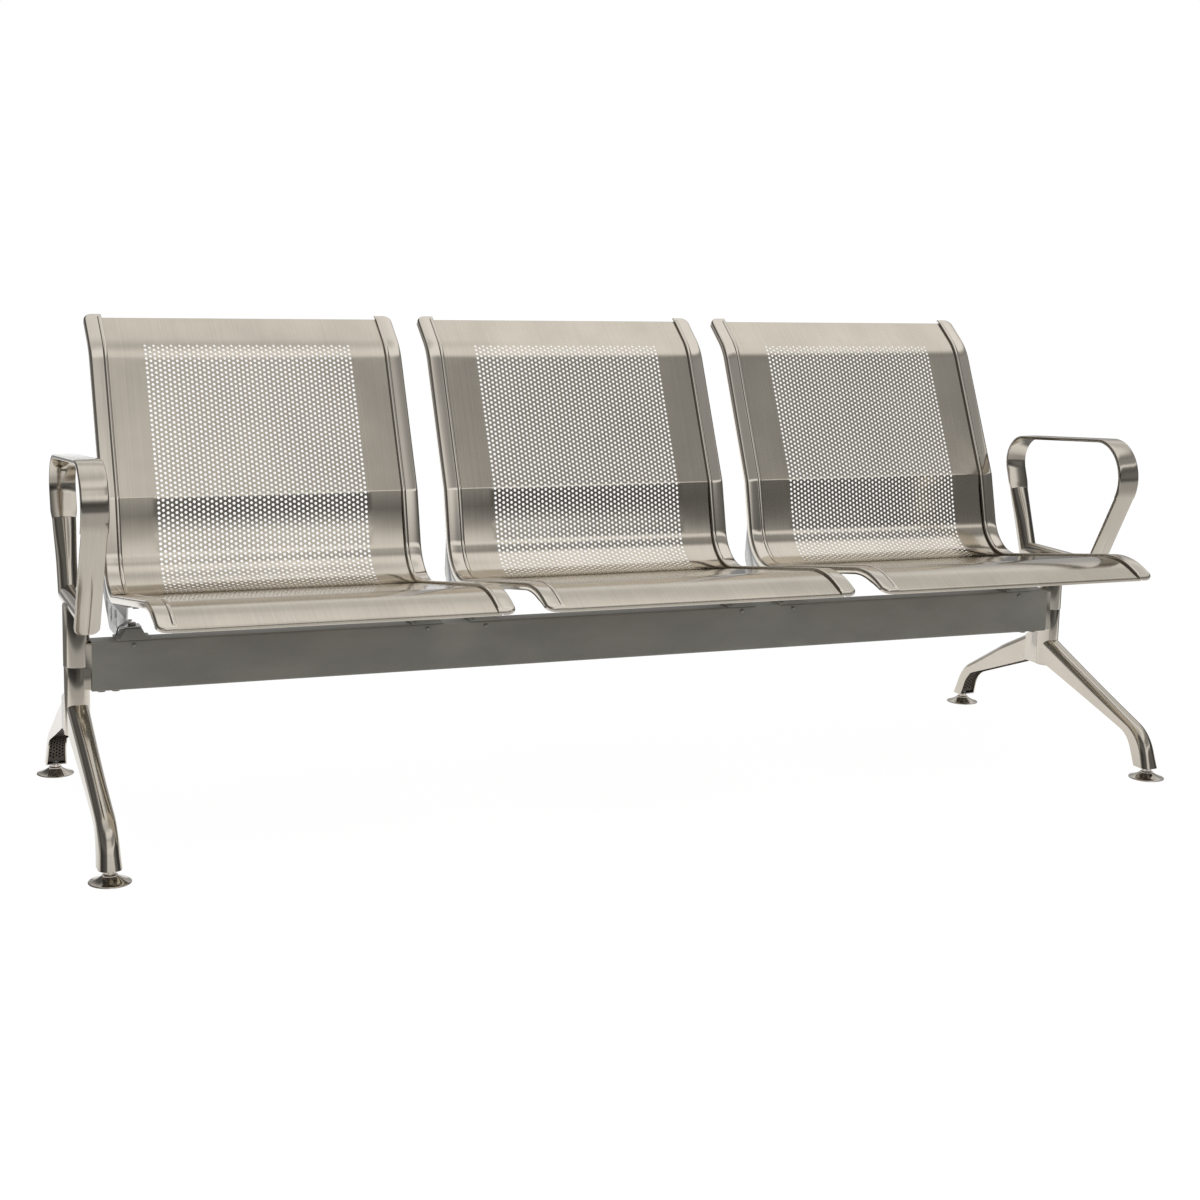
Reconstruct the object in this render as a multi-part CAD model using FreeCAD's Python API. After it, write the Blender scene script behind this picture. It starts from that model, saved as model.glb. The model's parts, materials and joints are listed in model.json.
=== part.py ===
import FreeCAD, Part
import math
import os
from FreeCAD import Vector

# Three-seat steel bench on a beam, in millimetres.
# X runs along the beam, the sitters face -Y, and Z is up with the floor at 0.
# Side profiles are lists of (y, z) points whose inner corners are rounded by the radii beside them.

# Seat sheets
seat_names = ["left", "middle", "right"]
seat_gap = 49.0                 # between the rails of two seats
sheet_gauge = 1.5
sheet_clear_width = 481.0       # what shows of a sheet between its two edge rails
sheet_tuck = 7.0                # how far the sheet runs on under each rail
roll_corner = (261.0, 738.0)
roll_run = (62.0, 48.0)         # from the roll's corner back and up to the top edge
lumbar_corner = (147.5, 499.0)
hip_corner = (108.7, 343.8)
knee_corner = (-299.0, 408.3)
seat_front = (-361.0, 380.5)
roll_radius = 100.0
lumbar_radius = 12.0
hip_radius = 76.0
knee_radius = 140.0
hem_depth = 7.0
hem_return = 14.0
hem_radius = 3.49

# Openings in the sheets: a plain grid with the open share of the fine round perforation
opening_columns = 12
opening_rows = 15
opening_pitch = 30.0
opening_row_pitch = 30.9
opening_diameter = 19.0
opening_start = 68.0            # from the top edge of the back to the start of the grid

# Edge rails
rail_width = 30.0
rail_depth = 10.0
rail_rise = 3.0
rail_gauge = 1.5
rail_nose_depth = 4.0           # the channel grows shallow towards its front end
rail_ridge_rise = 4.6
rail_ridge_width = 7.0
rail_ridge_radius = 1.5
rail_ridge_inset = 7.0          # from the end of the rail to the end of its ridge
rail_lumbar_radius = 40.0
rail_past_top = 7.0
rail_past_front = 3.0
rail_corner_radius = 15.0
rail_edge_radius = 4.5
rail_slot_width = 8.0
rail_slot_gap = 0.3

# Stamped brackets under the rails; lengths along the seat run forward from its bend
bracket_gauge = 2.5
bracket_rail_gap = 0.2
bracket_flange_width = 42.0
bracket_web_inset = 1.5         # from the outer side of a rail to the outer side of the web
bracket_back_reach = 87.0
bracket_front_reach = 223.0
bracket_nose_reach = 206.0
bracket_chin = (194.0, 34.0)    # reach, and depth under the sheet
bracket_belly_rise = 23.0       # above the beam, over its front edge
bracket_lip_width = 9.0
bracket_heel_reach = 111.0      # behind the beam
bracket_heel_rise = 54.0        # above the beam
bracket_toe_reach = 43.0        # behind the beam
bracket_lift = 4.0              # bottom of the web above the beam
bracket_pad_inset = 6.0
bracket_throat_inset = 24.0     # behind the front of the beam
bracket_heel_radius = 30.0
bracket_corner_radius = 12.0
bracket_belly_radius = 20.0
bracket_chin_radius = 6.0
bracket_slot_width = 9.0
bracket_slots = [(-10.0, 42.0, 14.0), (38.0, 35.0, 23.0), (84.0, 35.0, 25.0)]
seat_screw_reaches = (128.0, 189.0)
seat_screw_inset = 4.0

# Beam
beam_centre_y = 15.0
beam_depth = 40.0
beam_height = 80.0
beam_bottom = 212.0
beam_wall = 2.0
beam_corner_radius = 4.0
beam_end_gap = 3.0
clamp_screw_drop = 7.5          # below the top of the beam, in its front face

# Saddles that carry the brackets on the beam
saddle_inset = 27.0             # from the outer side of a rail to the middle of its saddle
saddle_foot_width = 55.0
saddle_base_width = 45.0
saddle_crown_width = 26.0
saddle_height = 18.0
saddle_gauge = 3.0

# Leg posts with their hubs and the stubs that enter the beam
post_gap = 59.5                 # from the outer side of the last rail to the middle of the post
post_diameter = 40.0
post_wall = 2.0
post_bottom = 142.0
post_joint_rise = 40.0          # top of the post above the bottom of the beam
hub_width = 36.0
hub_length = 47.0
hub_gauge = 2.5
hub_front_height = 70.0
hub_back_height = 52.0
stub_wall = 3.0
stub_gap = 0.2
stub_reach = 50.0
stub_bolt_shares = (0.3, 0.75)

# Legs; the roots are measured from the bottom of the post
leg_root_width = 35.0
leg_waist_width = 30.0
leg_foot_width = 35.0
leg_waist_share = 0.78          # how far along the leg its waist is
leg_section_count = 12
leg_gauge = 2.0
leg_crown_radius = 13.5
leg_end_height = 20.0
leg_end_depth = 32.0
leg_root_overlap = 5.0
front_foot_y = -305.0
front_root_rises = (56.0, 8.0)
front_bend = (-140.0, 140.5)
front_ankle = (-299.0, 80.0)
front_inner_ankle = (-262.0, 71.5)
rear_foot_y = 298.0
rear_root_drop = 1.5
rear_bend = (150.0, 154.0)
rear_ankle = (292.0, 76.0)
rear_inner_ankle = (266.0, 67.0)
leg_bend_radius = 400.0
ankle_radius = 75.0
inner_ankle_radius = 52.0
plate_recess = 4.0
plate_gauge = 1.2
plate_end_gap = 8.0
leg_open_drop = 30.0            # how far the cut that opens the underside goes below it
leg_fit = 0.2

# Levelling feet
pad_diameter = 63.0
pad_rim_height = 2.0
pad_rim_bevel = 1.0
pad_hub_diameter = 22.0
pad_hub_bevel = 1.5
pad_height = 12.5
pad_dish = 1.2                  # how far the cone sags below a straight slope
pad_floor = 3.0
stud_diameter = 10.0
stud_top = 40.0
stud_play = 0.05
nut_across = 16.0
nut_height = 5.5
foot_gap = 0.3
socket_diameter = 18.0
socket_height = 10.0
socket_plate = 2.0

# Armrests
strip_width = 42.0
strip_gauge = 6.5
strip_edge_radius = 2.5
arm_front_corner = (-250.8, 604.0)
arm_rear_corner = (174.9, 569.2)
arm_front_radius = 66.0
arm_rear_radius = 50.0
arm_front_slope = 0.547         # how far the front bar runs back for each unit of drop
arm_rear_slope = 0.36           # how far the rear tube runs forward for each unit of drop
arm_front_joint_drop = 109.0
arm_rear_joint_drop = 99.2
arm_base_rise = 61.0            # middle of the base tube above the top of the beam
arm_tube_diameter = 33.0
arm_tube_wall = 2.0
arm_neck_width = 38.0           # the flattened top of the rear tube
arm_neck_depth = 25.0
arm_neck_length = 75.0
bar_width = 39.0
bar_tongue = 31.0               # end of the front bar below the middle of the base tube
bar_tongue_radius = 12.0
sleeve_diameter = 42.0
sleeve_roof = 3.0
spigot_gap = 0.1
spigot_length = 40.0

# Screws and bolts
clamp_bolt = 4.0
small_bolt = 6.0
large_bolt = 8.0
bolt_play = 0.3
bolt_past = 3.0                 # end of a bolt beyond the last wall that it goes through
head_width_ratio = 1.6
head_height_ratio = 0.55

# A cutter goes this far past the piece that it cuts, and blocks that trim are this large
cut_past = 1.0
edge_play = 0.05                # how exactly an edge is picked for rounding
block_size = 400.0

up = Vector(0, 0, 1)
back_top = (roll_corner[0] + roll_run[0], roll_corner[1] + roll_run[1])
seat_pitch = sheet_clear_width + 2 * rail_width + seat_gap
sheet_edge = sheet_clear_width / 2
rail_outer = sheet_edge + rail_width
web_outer = rail_outer - bracket_web_inset
saddle_x = rail_outer - saddle_inset
post_x = seat_pitch + rail_outer + post_gap
beam_half_length = post_x - post_diameter / 2 - beam_end_gap
beam_front = beam_centre_y - beam_depth / 2
beam_back = beam_centre_y + beam_depth / 2
beam_top = beam_bottom + beam_height
post_top = beam_bottom + post_joint_rise
hub_back = beam_centre_y + hub_length
arm_base_height = beam_top + arm_base_rise


def unit(start, end):
    dy, dz = end[0] - start[0], end[1] - start[1]
    length = math.hypot(dy, dz)
    return dy / length, dz / length


def along(start, direction, distance):
    return start[0] + direction[0] * distance, start[1] + direction[1] * distance


def right_of(direction):
    return direction[1], -direction[0]


def meet(p, d, q, e):
    """Where the line from p along d crosses the line from q along e."""
    cross = d[0] * e[1] - d[1] * e[0]
    reach = ((q[0] - p[0]) * e[1] - (q[1] - p[1]) * e[0]) / cross
    return along(p, d, reach)


def shifted(points, radii, distance):
    """A rounded path moved to the right of its direction by the distance."""
    directions = [unit(a, b) for a, b in zip(points, points[1:])]
    starts = [along(p, right_of(d), distance) for p, d in zip(points, directions)]
    moved = [starts[0]]
    new_radii = []
    for k in range(1, len(directions)):
        before, after = directions[k - 1], directions[k]
        moved.append(meet(starts[k - 1], before, starts[k], after))
        turns_left = before[0] * after[1] - before[1] * after[0] > 0
        new_radii.append(radii[k - 1] + (distance if turns_left else -distance))
    moved.append(along(points[-1], right_of(directions[-1]), distance))
    return moved, new_radii


def place(point, x=0.0):
    return Vector(x, point[0], point[1])


def line(start, end, x):
    return Part.LineSegment(place(start, x), place(end, x)).toShape()


def rounded(points, radii, x=0.0):
    """Edges of a path through the points, with a tangent arc at each inner corner."""
    edges = []
    last = points[0]
    for k, radius in enumerate(radii, start=1):
        back = unit(points[k], points[k - 1])
        ahead = unit(points[k], points[k + 1])
        half_angle = math.acos(back[0] * ahead[0] + back[1] * ahead[1]) / 2
        reach = radius / math.tan(half_angle)
        start, end = along(points[k], back, reach), along(points[k], ahead, reach)
        inward = unit((0, 0), (back[0] + ahead[0], back[1] + ahead[1]))
        middle = along(points[k], inward, radius / math.sin(half_angle) - radius)
        edges.append(line(last, start, x))
        edges.append(Part.Arc(place(start, x), place(middle, x), place(end, x)).toShape())
        last = end
    edges.append(line(last, points[-1], x))
    return edges


def slab(upper, lower, x, width):
    """A solid between two rounded paths, extruded along X."""
    edges = rounded(*upper, x) + rounded(*lower, x)
    for a, b in ((upper[0][0], lower[0][0]), (upper[0][-1], lower[0][-1])):
        if a != b:
            edges.append(line(a, b, x))
    face = Part.Face(Part.Wire(Part.__sortEdges__(edges)))
    return face.extrude(Vector(width, 0, 0))


def band(path, high, low, x, width):
    return slab(shifted(*path, high), shifted(*path, low), x, width)


def prism(outline, x, width):
    """An extrusion along X of a closed outline of (y, z) points."""
    wire = Part.makePolygon([place(p, x) for p in outline + outline[:1]])
    return Part.Face(wire).extrude(Vector(width, 0, 0))


def rod(diameter, start, direction, length):
    return Part.makeCylinder(diameter / 2, length, start, direction)


def bolt(size, seat, direction, length):
    """A cheese-headed bolt whose head stands on the seat, away from the direction."""
    head_height = size * head_height_ratio
    head = rod(size * head_width_ratio, seat - direction * head_height, direction, head_height)
    return head.fuse(rod(size, seat, direction, length)).removeSplitter()


def bolt_hole(size, seat, direction, depth):
    """Clearance hole from just before the seat to the depth beyond it."""
    start = seat - direction * bolt_past
    return rod(size + 2 * bolt_play, start, direction, depth + bolt_past)


def side_rims(solid, spine, x, width):
    """The long edges that run beside a spine, half the width away from it on each side."""
    rims = []
    for edge in solid.Edges:
        middle = edge.valueAt((edge.FirstParameter + edge.LastParameter) / 2)
        lengthwise = edge.BoundBox.XLength < 0.01
        beside = abs(abs(middle.x - x) - width / 2) < 0.01
        if lengthwise and beside:
            distance = spine.distToShape(Part.Vertex(middle))[0]
            if abs(distance - width / 2) < 0.01:
                rims.append(edge)
    return rims


def mirrored(shape):
    return shape.mirror(Vector(0, 0, 0), Vector(1, 0, 0))


# Side profile of a seat, from the top of the back to the front edge
seat_corners = [roll_corner, lumbar_corner, hip_corner, knee_corner]
top_direction = unit(back_top, roll_corner)
lower_back_direction = unit(lumbar_corner, hip_corner)
seat_direction = unit(hip_corner, knee_corner)
front_direction = unit(knee_corner, seat_front)
seat_normal = Vector(0, *right_of(seat_direction))


def under_seat(reach, depth):
    """A point forward of the seat's bend by the reach, and below the sheet by the depth."""
    return along(along(hip_corner, seat_direction, reach), right_of(seat_direction), -depth)


def seat_sheet():
    """Bent sheet whose top and front edges are folded under."""
    top_fold = along(back_top, right_of(top_direction), -hem_depth)
    front_fold = along(seat_front, right_of(front_direction), -hem_depth)
    points = [along(top_fold, top_direction, hem_return), top_fold, back_top]
    points += seat_corners
    points += [seat_front, front_fold, along(front_fold, front_direction, -hem_return)]
    radii = [hem_radius, hem_radius, roll_radius, lumbar_radius, hip_radius, knee_radius,
             hem_radius, hem_radius]
    width = sheet_clear_width + 2 * sheet_tuck
    sheet = band((points, radii), 0.0, -sheet_gauge, -width / 2, width)
    return sheet.cut(Part.makeCompound(sheet_openings()))


def sheet_openings():
    """Cutters square to the sheet, in rows down the back and on to the end of its bend."""
    line = rounded([back_top] + seat_corners + [seat_front],
                   [roll_radius, lumbar_radius, hip_radius, knee_radius])
    cutters = []
    for row in range(opening_rows):
        middle, heading = spot(line, opening_start + (row + 0.5) * opening_row_pitch)
        normal = Vector(0, heading.z, -heading.y)
        start = middle - normal * (sheet_gauge + cut_past)
        for column in range(opening_columns):
            x = (column - (opening_columns - 1) / 2) * opening_pitch
            cutters.append(rod(opening_diameter, start + Vector(x, 0, 0), normal,
                               sheet_gauge + 2 * cut_past))
    return cutters


def spot(edges, reach):
    """Place and heading at a distance along joined edges."""
    for edge in edges:
        if reach <= edge.Length:
            at = edge.getParameterByLength(reach)
            return edge.valueAt(at), edge.tangentAt(at)
        reach -= edge.Length


def rail_path(past=0.0):
    """The line that a rail follows, lengthened at both ends."""
    top = along(back_top, top_direction, -rail_past_top - past)
    front = along(seat_front, front_direction, rail_past_front + past)
    radii = [roll_radius, rail_lumbar_radius, hip_radius, knee_radius]
    return [top] + seat_corners + [front], radii


def rail_form(gauge=0.0):
    """Outside of a rail, or its hollow where a gauge is given."""
    path, outer = rail_path(-gauge), rail_outer - gauge
    upper = shifted(*path, rail_rise - gauge)
    body = slab(upper, rail_underside(gauge), sheet_edge + gauge, rail_width - 2 * gauge)
    heights = [rail_rise + depth - 2 * gauge for depth in (rail_depth, rail_nose_depth)]
    corners = [edge for edge in body.Edges
               if edge.BoundBox.XMin > outer - edge_play
               and min(abs(edge.Length - height) for height in heights) < edge_play]
    body = body.makeFillet(rail_corner_radius - gauge, corners)
    rim_line = Part.Wire(rounded(*upper, outer))
    rims = [edge for edge in body.Edges
            if edge.BoundBox.XMax > outer - edge_play
            and rim_line.distToShape(Part.Vertex(mid_point(edge)))[0] < edge_play]
    return body.makeFillet(rail_edge_radius - gauge, rims)


def edge_rail():
    """Right-hand rail: a pressed channel that wraps the edge of the sheet."""
    slot = band(rail_path(cut_past), rail_slot_gap, -rail_depth - cut_past,
                sheet_edge - cut_past, rail_slot_width + cut_past)
    body = rail_form().fuse(rail_ridge()).cut(rail_form(rail_gauge)).cut(slot)
    for reach in seat_screw_reaches:
        body = body.cut(seat_screw_hole(reach))
    return body.removeSplitter()


def rail_underside(gauge=0.0):
    """Lower line of a rail, or of its hollow where a gauge is given."""
    points, radii = shifted(*rail_path(-gauge), gauge - rail_depth)
    end = rail_path(-gauge)[0][-1]
    points[-1] = along(end, right_of(front_direction), gauge - rail_nose_depth)
    return points, radii


def rail_ridge():
    """Rounded bead along the edge of a rail beside the sheet."""
    path = rail_path(-rail_ridge_inset)
    ridge = band(path, rail_ridge_rise, 0.0, sheet_edge, rail_ridge_width)
    rims = []
    for edge in ridge.Edges:
        middle = mid_point(edge)
        foot_line = Part.Wire(rounded(*path, middle.x))
        height = foot_line.distToShape(Part.Vertex(middle))[0]
        if edge.BoundBox.XLength < edge_play and abs(height - rail_ridge_rise) < edge_play:
            rims.append(edge)
    return ridge.makeFillet(rail_ridge_radius, rims)


def mid_point(edge):
    return edge.valueAt((edge.FirstParameter + edge.LastParameter) / 2)


def seat_screw_seat(reach):
    """Where the head of a seat screw stands, under the bracket's upper flange."""
    depth = rail_depth + bracket_rail_gap + bracket_gauge
    return place(under_seat(reach, depth), sheet_edge + rail_slot_width + seat_screw_inset)


seat_screw_grip = bracket_gauge + bracket_rail_gap + rail_gauge


def seat_screw(reach):
    return bolt(small_bolt, seat_screw_seat(reach), seat_normal, seat_screw_grip + bolt_past)


def seat_screw_hole(reach):
    return bolt_hole(small_bolt, seat_screw_seat(reach), seat_normal, seat_screw_grip + cut_past)


def saddle_bolt_seat():
    height = beam_top + saddle_height + bracket_gauge
    return Vector(saddle_x, beam_centre_y, height)


def saddle_bolt():
    return bolt(large_bolt, saddle_bolt_seat(), -up, bracket_gauge + saddle_gauge + bolt_past)


def saddle_bolt_hole():
    return bolt_hole(large_bolt, saddle_bolt_seat(), -up, bracket_gauge + saddle_gauge + cut_past)


def seat_bracket():
    """Right-hand bracket: a web on edge with a flange under the rail, a lip and a pad."""
    flange_depth = rail_depth + bracket_rail_gap
    back = along(hip_corner, lower_back_direction, -bracket_back_reach)
    path = [back, hip_corner, under_seat(bracket_front_reach, 0.0)], [hip_radius]
    flange = band(path, -flange_depth, -flange_depth - bracket_gauge,
                  web_outer - bracket_flange_width, bracket_flange_width)
    web_path = [back, hip_corner, under_seat(bracket_nose_reach, 0.0)], [hip_radius]
    upper = shifted(*web_path, -flange_depth)
    web_bottom = beam_top + bracket_lift
    heel = beam_back + bracket_heel_reach, beam_top + bracket_heel_rise
    front_edge = [(beam_front + bracket_throat_inset, web_bottom),
                  (beam_front, beam_top + bracket_belly_rise), under_seat(*bracket_chin)]
    lower = [upper[0][0], heel, (beam_back + bracket_toe_reach, web_bottom)]
    lower += front_edge + [upper[0][-1]]
    radii = [bracket_heel_radius, bracket_corner_radius, bracket_corner_radius,
             bracket_belly_radius, bracket_chin_radius]
    web = slab(upper, (lower, radii), web_outer - bracket_gauge, bracket_gauge)
    lip = band((front_edge[1:], []), bracket_gauge, 0.0, web_outer - bracket_lip_width,
               bracket_lip_width)
    pad_bottom = beam_top + saddle_height
    pad_inner = saddle_x - saddle_crown_width / 2
    pad = Part.makeBox(web_outer - pad_inner, beam_depth - 2 * bracket_pad_inset, bracket_gauge,
                       Vector(pad_inner, beam_front + bracket_pad_inset, pad_bottom))
    bracket = web.fuse(flange).fuse(pad).fuse(lip).removeSplitter()
    for offset, rise, height in bracket_slots:
        bracket = bracket.cut(upright_slot(beam_centre_y + offset, beam_top + rise, height))
    for reach in seat_screw_reaches:
        bracket = bracket.cut(seat_screw_hole(reach))
    return bracket.cut(saddle_bolt_hole())


def upright_slot(y, z, height):
    """Cutter for a slot with round ends through the web."""
    depth = bracket_gauge + 2 * cut_past
    x = web_outer - bracket_gauge - cut_past
    half = (height - bracket_slot_width) / 2
    cutter = Part.makeBox(depth, bracket_slot_width, 2 * half,
                          Vector(x, y - bracket_slot_width / 2, z - half))
    for end in (-half, half):
        cutter = cutter.fuse(rod(bracket_slot_width, Vector(x, y, z + end), Vector(1, 0, 0), depth))
    return cutter.removeSplitter()


def saddle():
    """Pressed block with feet and closed ends, across the beam under a bracket."""
    def ridge(inset, drop):
        foot, crown = saddle_base_width / 2 - inset, saddle_crown_width / 2 - inset
        low, high = beam_top - drop, beam_top + saddle_height - inset
        corners = [(-foot, low), (foot, low), (crown, high), (-crown, high), (-foot, low)]
        wire = Part.makePolygon([Vector(saddle_x + x, beam_front + inset, z) for x, z in corners])
        return Part.Face(wire).extrude(Vector(0, beam_depth - 2 * inset, 0))
    feet = Part.makeBox(saddle_foot_width, beam_depth, saddle_gauge,
                        Vector(saddle_x - saddle_foot_width / 2, beam_front, beam_top))
    block = ridge(0.0, 0.0).fuse(feet).cut(ridge(saddle_gauge, cut_past))
    return block.removeSplitter().cut(saddle_bolt_hole())


def clamp_screw_seat():
    return Vector(saddle_x, beam_front, beam_top - clamp_screw_drop)


def clamp_screw():
    """Screw in the beam's front face, under a saddle."""
    return bolt(clamp_bolt, clamp_screw_seat(), Vector(0, 1, 0), beam_wall + bolt_past)


def beam_shell(inset, wall, half_length, corner):
    """A rectangular tube on the beam's middle line, its outside set in from the beam's."""
    def core(gap, radius):
        box = Part.makeBox(2 * half_length, beam_depth - 2 * gap, beam_height - 2 * gap,
                           Vector(-half_length, beam_front + gap, beam_bottom + gap))
        return box.makeFillet(radius, [e for e in box.Edges if e.BoundBox.XLength > half_length])
    return core(inset, corner).cut(core(inset + wall, corner / 2))


def beam():
    shell = beam_shell(0.0, beam_wall, beam_half_length, beam_corner_radius)
    holes = []
    for k in range(len(seat_names)):
        hole = bolt_hole(clamp_bolt, clamp_screw_seat(), Vector(0, 1, 0), beam_wall + cut_past)
        holes += [moved(shape, seat_x(k)) for shape in (hole, mirrored(hole))]
    for seat in stub_bolt_seats():
        hole = bolt_hole(large_bolt, seat, up, beam_wall + cut_past)
        holes += [hole, mirrored(hole)]
    for hole in holes:
        shell = shell.cut(hole)
    return shell


def stub_bolt_seats():
    places = [beam_half_length - stub_reach * share for share in stub_bolt_shares]
    return [Vector(x, beam_centre_y, beam_bottom) for x in places]


stub_bolt_grip = beam_wall + stub_gap + stub_wall


def stub_bolts():
    bolts = [bolt(large_bolt, seat, up, stub_bolt_grip + bolt_past) for seat in stub_bolt_seats()]
    return Part.makeCompound(bolts + [mirrored(one) for one in bolts])


def leg_post():
    """Right-hand post, with the hub behind its foot and the stub that enters the beam."""
    foot = Vector(post_x, beam_centre_y, post_bottom)
    height = post_top - post_bottom
    body = rod(post_diameter, foot, up, height).fuse(hub())
    stub = beam_shell(beam_wall + stub_gap, stub_wall, post_x, beam_corner_radius / 2)
    start = beam_half_length - stub_reach
    keep = Part.makeBox(post_x - start, beam_depth, beam_height,
                        Vector(start, beam_front, beam_bottom))
    body = body.fuse(stub.common(keep))
    body = body.cut(rod(post_diameter - 2 * post_wall, foot - up * cut_past, up,
                        height + 2 * cut_past))
    body = body.cut(rod(sleeve_diameter + 2 * stub_gap, foot + up * height, up, beam_height))
    for seat in stub_bolt_seats():
        body = body.cut(bolt_hole(large_bolt, seat, up, stub_bolt_grip + cut_past))
    return body.removeSplitter()


def hub():
    def outline(gap, past):
        back = hub_back + past
        return [(beam_centre_y, post_bottom + gap), (back, post_bottom + gap),
                (back, post_bottom + hub_back_height - gap),
                (beam_centre_y, post_bottom + hub_front_height - gap)]
    outer = prism(outline(0.0, 0.0), post_x - hub_width / 2, hub_width)
    inner = prism(outline(hub_gauge, cut_past), post_x - hub_width / 2 + hub_gauge,
                  hub_width - 2 * hub_gauge)
    return outer.cut(inner)


def front_leg_lines():
    """Crown line and underside line of a front leg, from its root down to its end."""
    root = beam_centre_y - leg_root_overlap
    crown, under = [post_bottom + rise for rise in front_root_rises]
    half = leg_end_depth / 2
    top = [(root, crown), front_bend, front_ankle, (front_foot_y - half, leg_end_height)]
    bottom = [(root, under), front_inner_ankle, (front_foot_y + half, leg_end_height)]
    return (top, [leg_bend_radius, ankle_radius]), (bottom, [inner_ankle_radius])


def rear_leg_lines():
    half = leg_end_depth / 2
    top = [(hub_back, post_bottom + hub_back_height), rear_bend, rear_ankle,
           (rear_foot_y + half, leg_end_height)]
    bottom = [(hub_back, post_bottom - rear_root_drop), rear_inner_ankle,
              (rear_foot_y - half, leg_end_height)]
    return (top, [leg_bend_radius, ankle_radius]), (bottom, [inner_ankle_radius])


def toward_inside(path, foot_y, distance):
    """A leg's line moved down into the leg, or out of its underside."""
    return shifted(*path, distance if foot_y > 0 else -distance)


def leg_width_at(share):
    """Width of a leg at a share of its length: it draws in to a waist and spreads at the foot."""
    if share < leg_waist_share:
        end_width, from_waist = leg_root_width, 1 - share / leg_waist_share
    else:
        end_width, from_waist = leg_foot_width, (share - leg_waist_share) / (1 - leg_waist_share)
    return leg_waist_width + (end_width - leg_waist_width) * from_waist ** 2


def leg_section(top, bottom, width, inset, drop):
    """Wire across a leg: flat sides and a rounded crown."""
    rise = (top - bottom).normalize()
    half = width / 2 - inset
    radius = leg_crown_radius - inset
    crown, low = top - rise * inset, bottom - rise * drop
    across = Vector(1, 0, 0)

    def at(x, point):
        return point + across * x
    shoulder = crown - rise * radius
    lift = rise * (radius * math.sqrt(0.5))
    bow = radius * (1 - math.sqrt(0.5))
    corners = [at(-half, low), at(-half, shoulder), at(radius - half, crown),
               at(half - radius, crown), at(half, shoulder), at(half, low)]
    left = Part.Arc(corners[1], at(bow - half, shoulder + lift), corners[2])
    right = Part.Arc(corners[3], at(half - bow, shoulder + lift), corners[4])
    edges = [Part.LineSegment(corners[0], corners[1]), left,
             Part.LineSegment(corners[2], corners[3]), right,
             Part.LineSegment(corners[4], corners[5]), Part.LineSegment(corners[5], corners[0])]
    return Part.Wire([edge.toShape() for edge in edges])


def leg_form(lines, inset, drop):
    """The full form of a leg, set in by the inset and with its underside let down."""
    crown, under = [Part.Wire(rounded(*path, post_x)).discretize(Number=leg_section_count)
                    for path in lines]
    sections = []
    for k, (top, bottom) in enumerate(zip(crown, under)):
        width = leg_width_at(k / (leg_section_count - 1))
        sections.append(leg_section(top, bottom, width, inset, drop))
    return Part.makeLoft(sections, True)


def leg_pieces(lines, foot_y):
    """Shell, closing plate and threaded socket of a right-hand leg."""
    post_space = rod(post_diameter + leg_fit, Vector(post_x, beam_centre_y, 0), up, post_top)
    open_core = leg_form(lines, leg_gauge, leg_open_drop)
    shell = leg_form(lines, 0.0, 0.0).cut(open_core).cut(post_space)
    fill = leg_form(lines, leg_gauge + leg_fit, leg_open_drop)
    return shell, closing_plate(lines, foot_y, fill), foot_socket(lines, foot_y)


def closing_plate(lines, foot_y, fill):
    """Strip that closes the underside, from near the post down to the socket."""
    corner_x = post_x - leg_root_width / 2
    strip = slab(toward_inside(lines[1], foot_y, -plate_recess - plate_gauge),
                 toward_inside(lines[1], foot_y, -plate_recess), corner_x, leg_root_width)
    lowest = leg_end_height + socket_plate + leg_fit
    if foot_y > 0:
        corner = Vector(corner_x, hub_back + plate_end_gap, lowest)
    else:
        edge = beam_centre_y - post_diameter / 2 - plate_end_gap
        corner = Vector(corner_x, edge - block_size, lowest)
    below = Part.makeBox(leg_root_width, block_size, block_size, corner)
    return strip.common(fill).common(below)


def foot_socket(lines, foot_y):
    """Plate in the end of a leg with a threaded boss for the stud."""
    within = leg_form(lines, leg_gauge + leg_fit, -leg_fit)
    corner = Vector(post_x - leg_foot_width / 2, foot_y - leg_end_depth, leg_end_height)
    plate = Part.makeBox(leg_foot_width, 2 * leg_end_depth, socket_plate, corner).common(within)
    base = Vector(post_x, foot_y, leg_end_height)
    bore = rod(stud_diameter + 2 * stud_play, base - up * cut_past, up,
               socket_height + 2 * cut_past)
    boss = rod(socket_diameter, base, up, socket_height)
    return plate.fuse(boss).removeSplitter().cut(bore)


def foot_pad(foot_y):
    """Dished disc with a hub that holds the end of the stud."""
    rim, hub_r = pad_diameter / 2, pad_hub_diameter / 2
    bore = stud_diameter / 2 + stud_play
    foot_of_cone = (rim - pad_rim_bevel, pad_rim_height)
    top_of_cone = (hub_r + pad_hub_bevel, pad_height - pad_hub_bevel)
    middle = [(a + b) / 2 for a, b in zip(foot_of_cone, top_of_cone)]
    outline = [top_of_cone, (hub_r - pad_hub_bevel, pad_height), (bore, pad_height),
               (bore, pad_floor), (0, pad_floor), (0, 0), (rim - pad_rim_bevel, 0),
               (rim, pad_rim_height / 2), foot_of_cone]

    def at(r, z):
        return Vector(post_x + r, foot_y, z)
    cone = Part.Arc(at(*foot_of_cone), at(middle[0], middle[1] - pad_dish), at(*top_of_cone))
    rest = Part.makePolygon([at(*point) for point in outline])
    wire = Part.Wire([cone.toShape()] + rest.Edges)
    return Part.Face(wire).revolve(Vector(post_x, foot_y, 0), up, 360)


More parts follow.
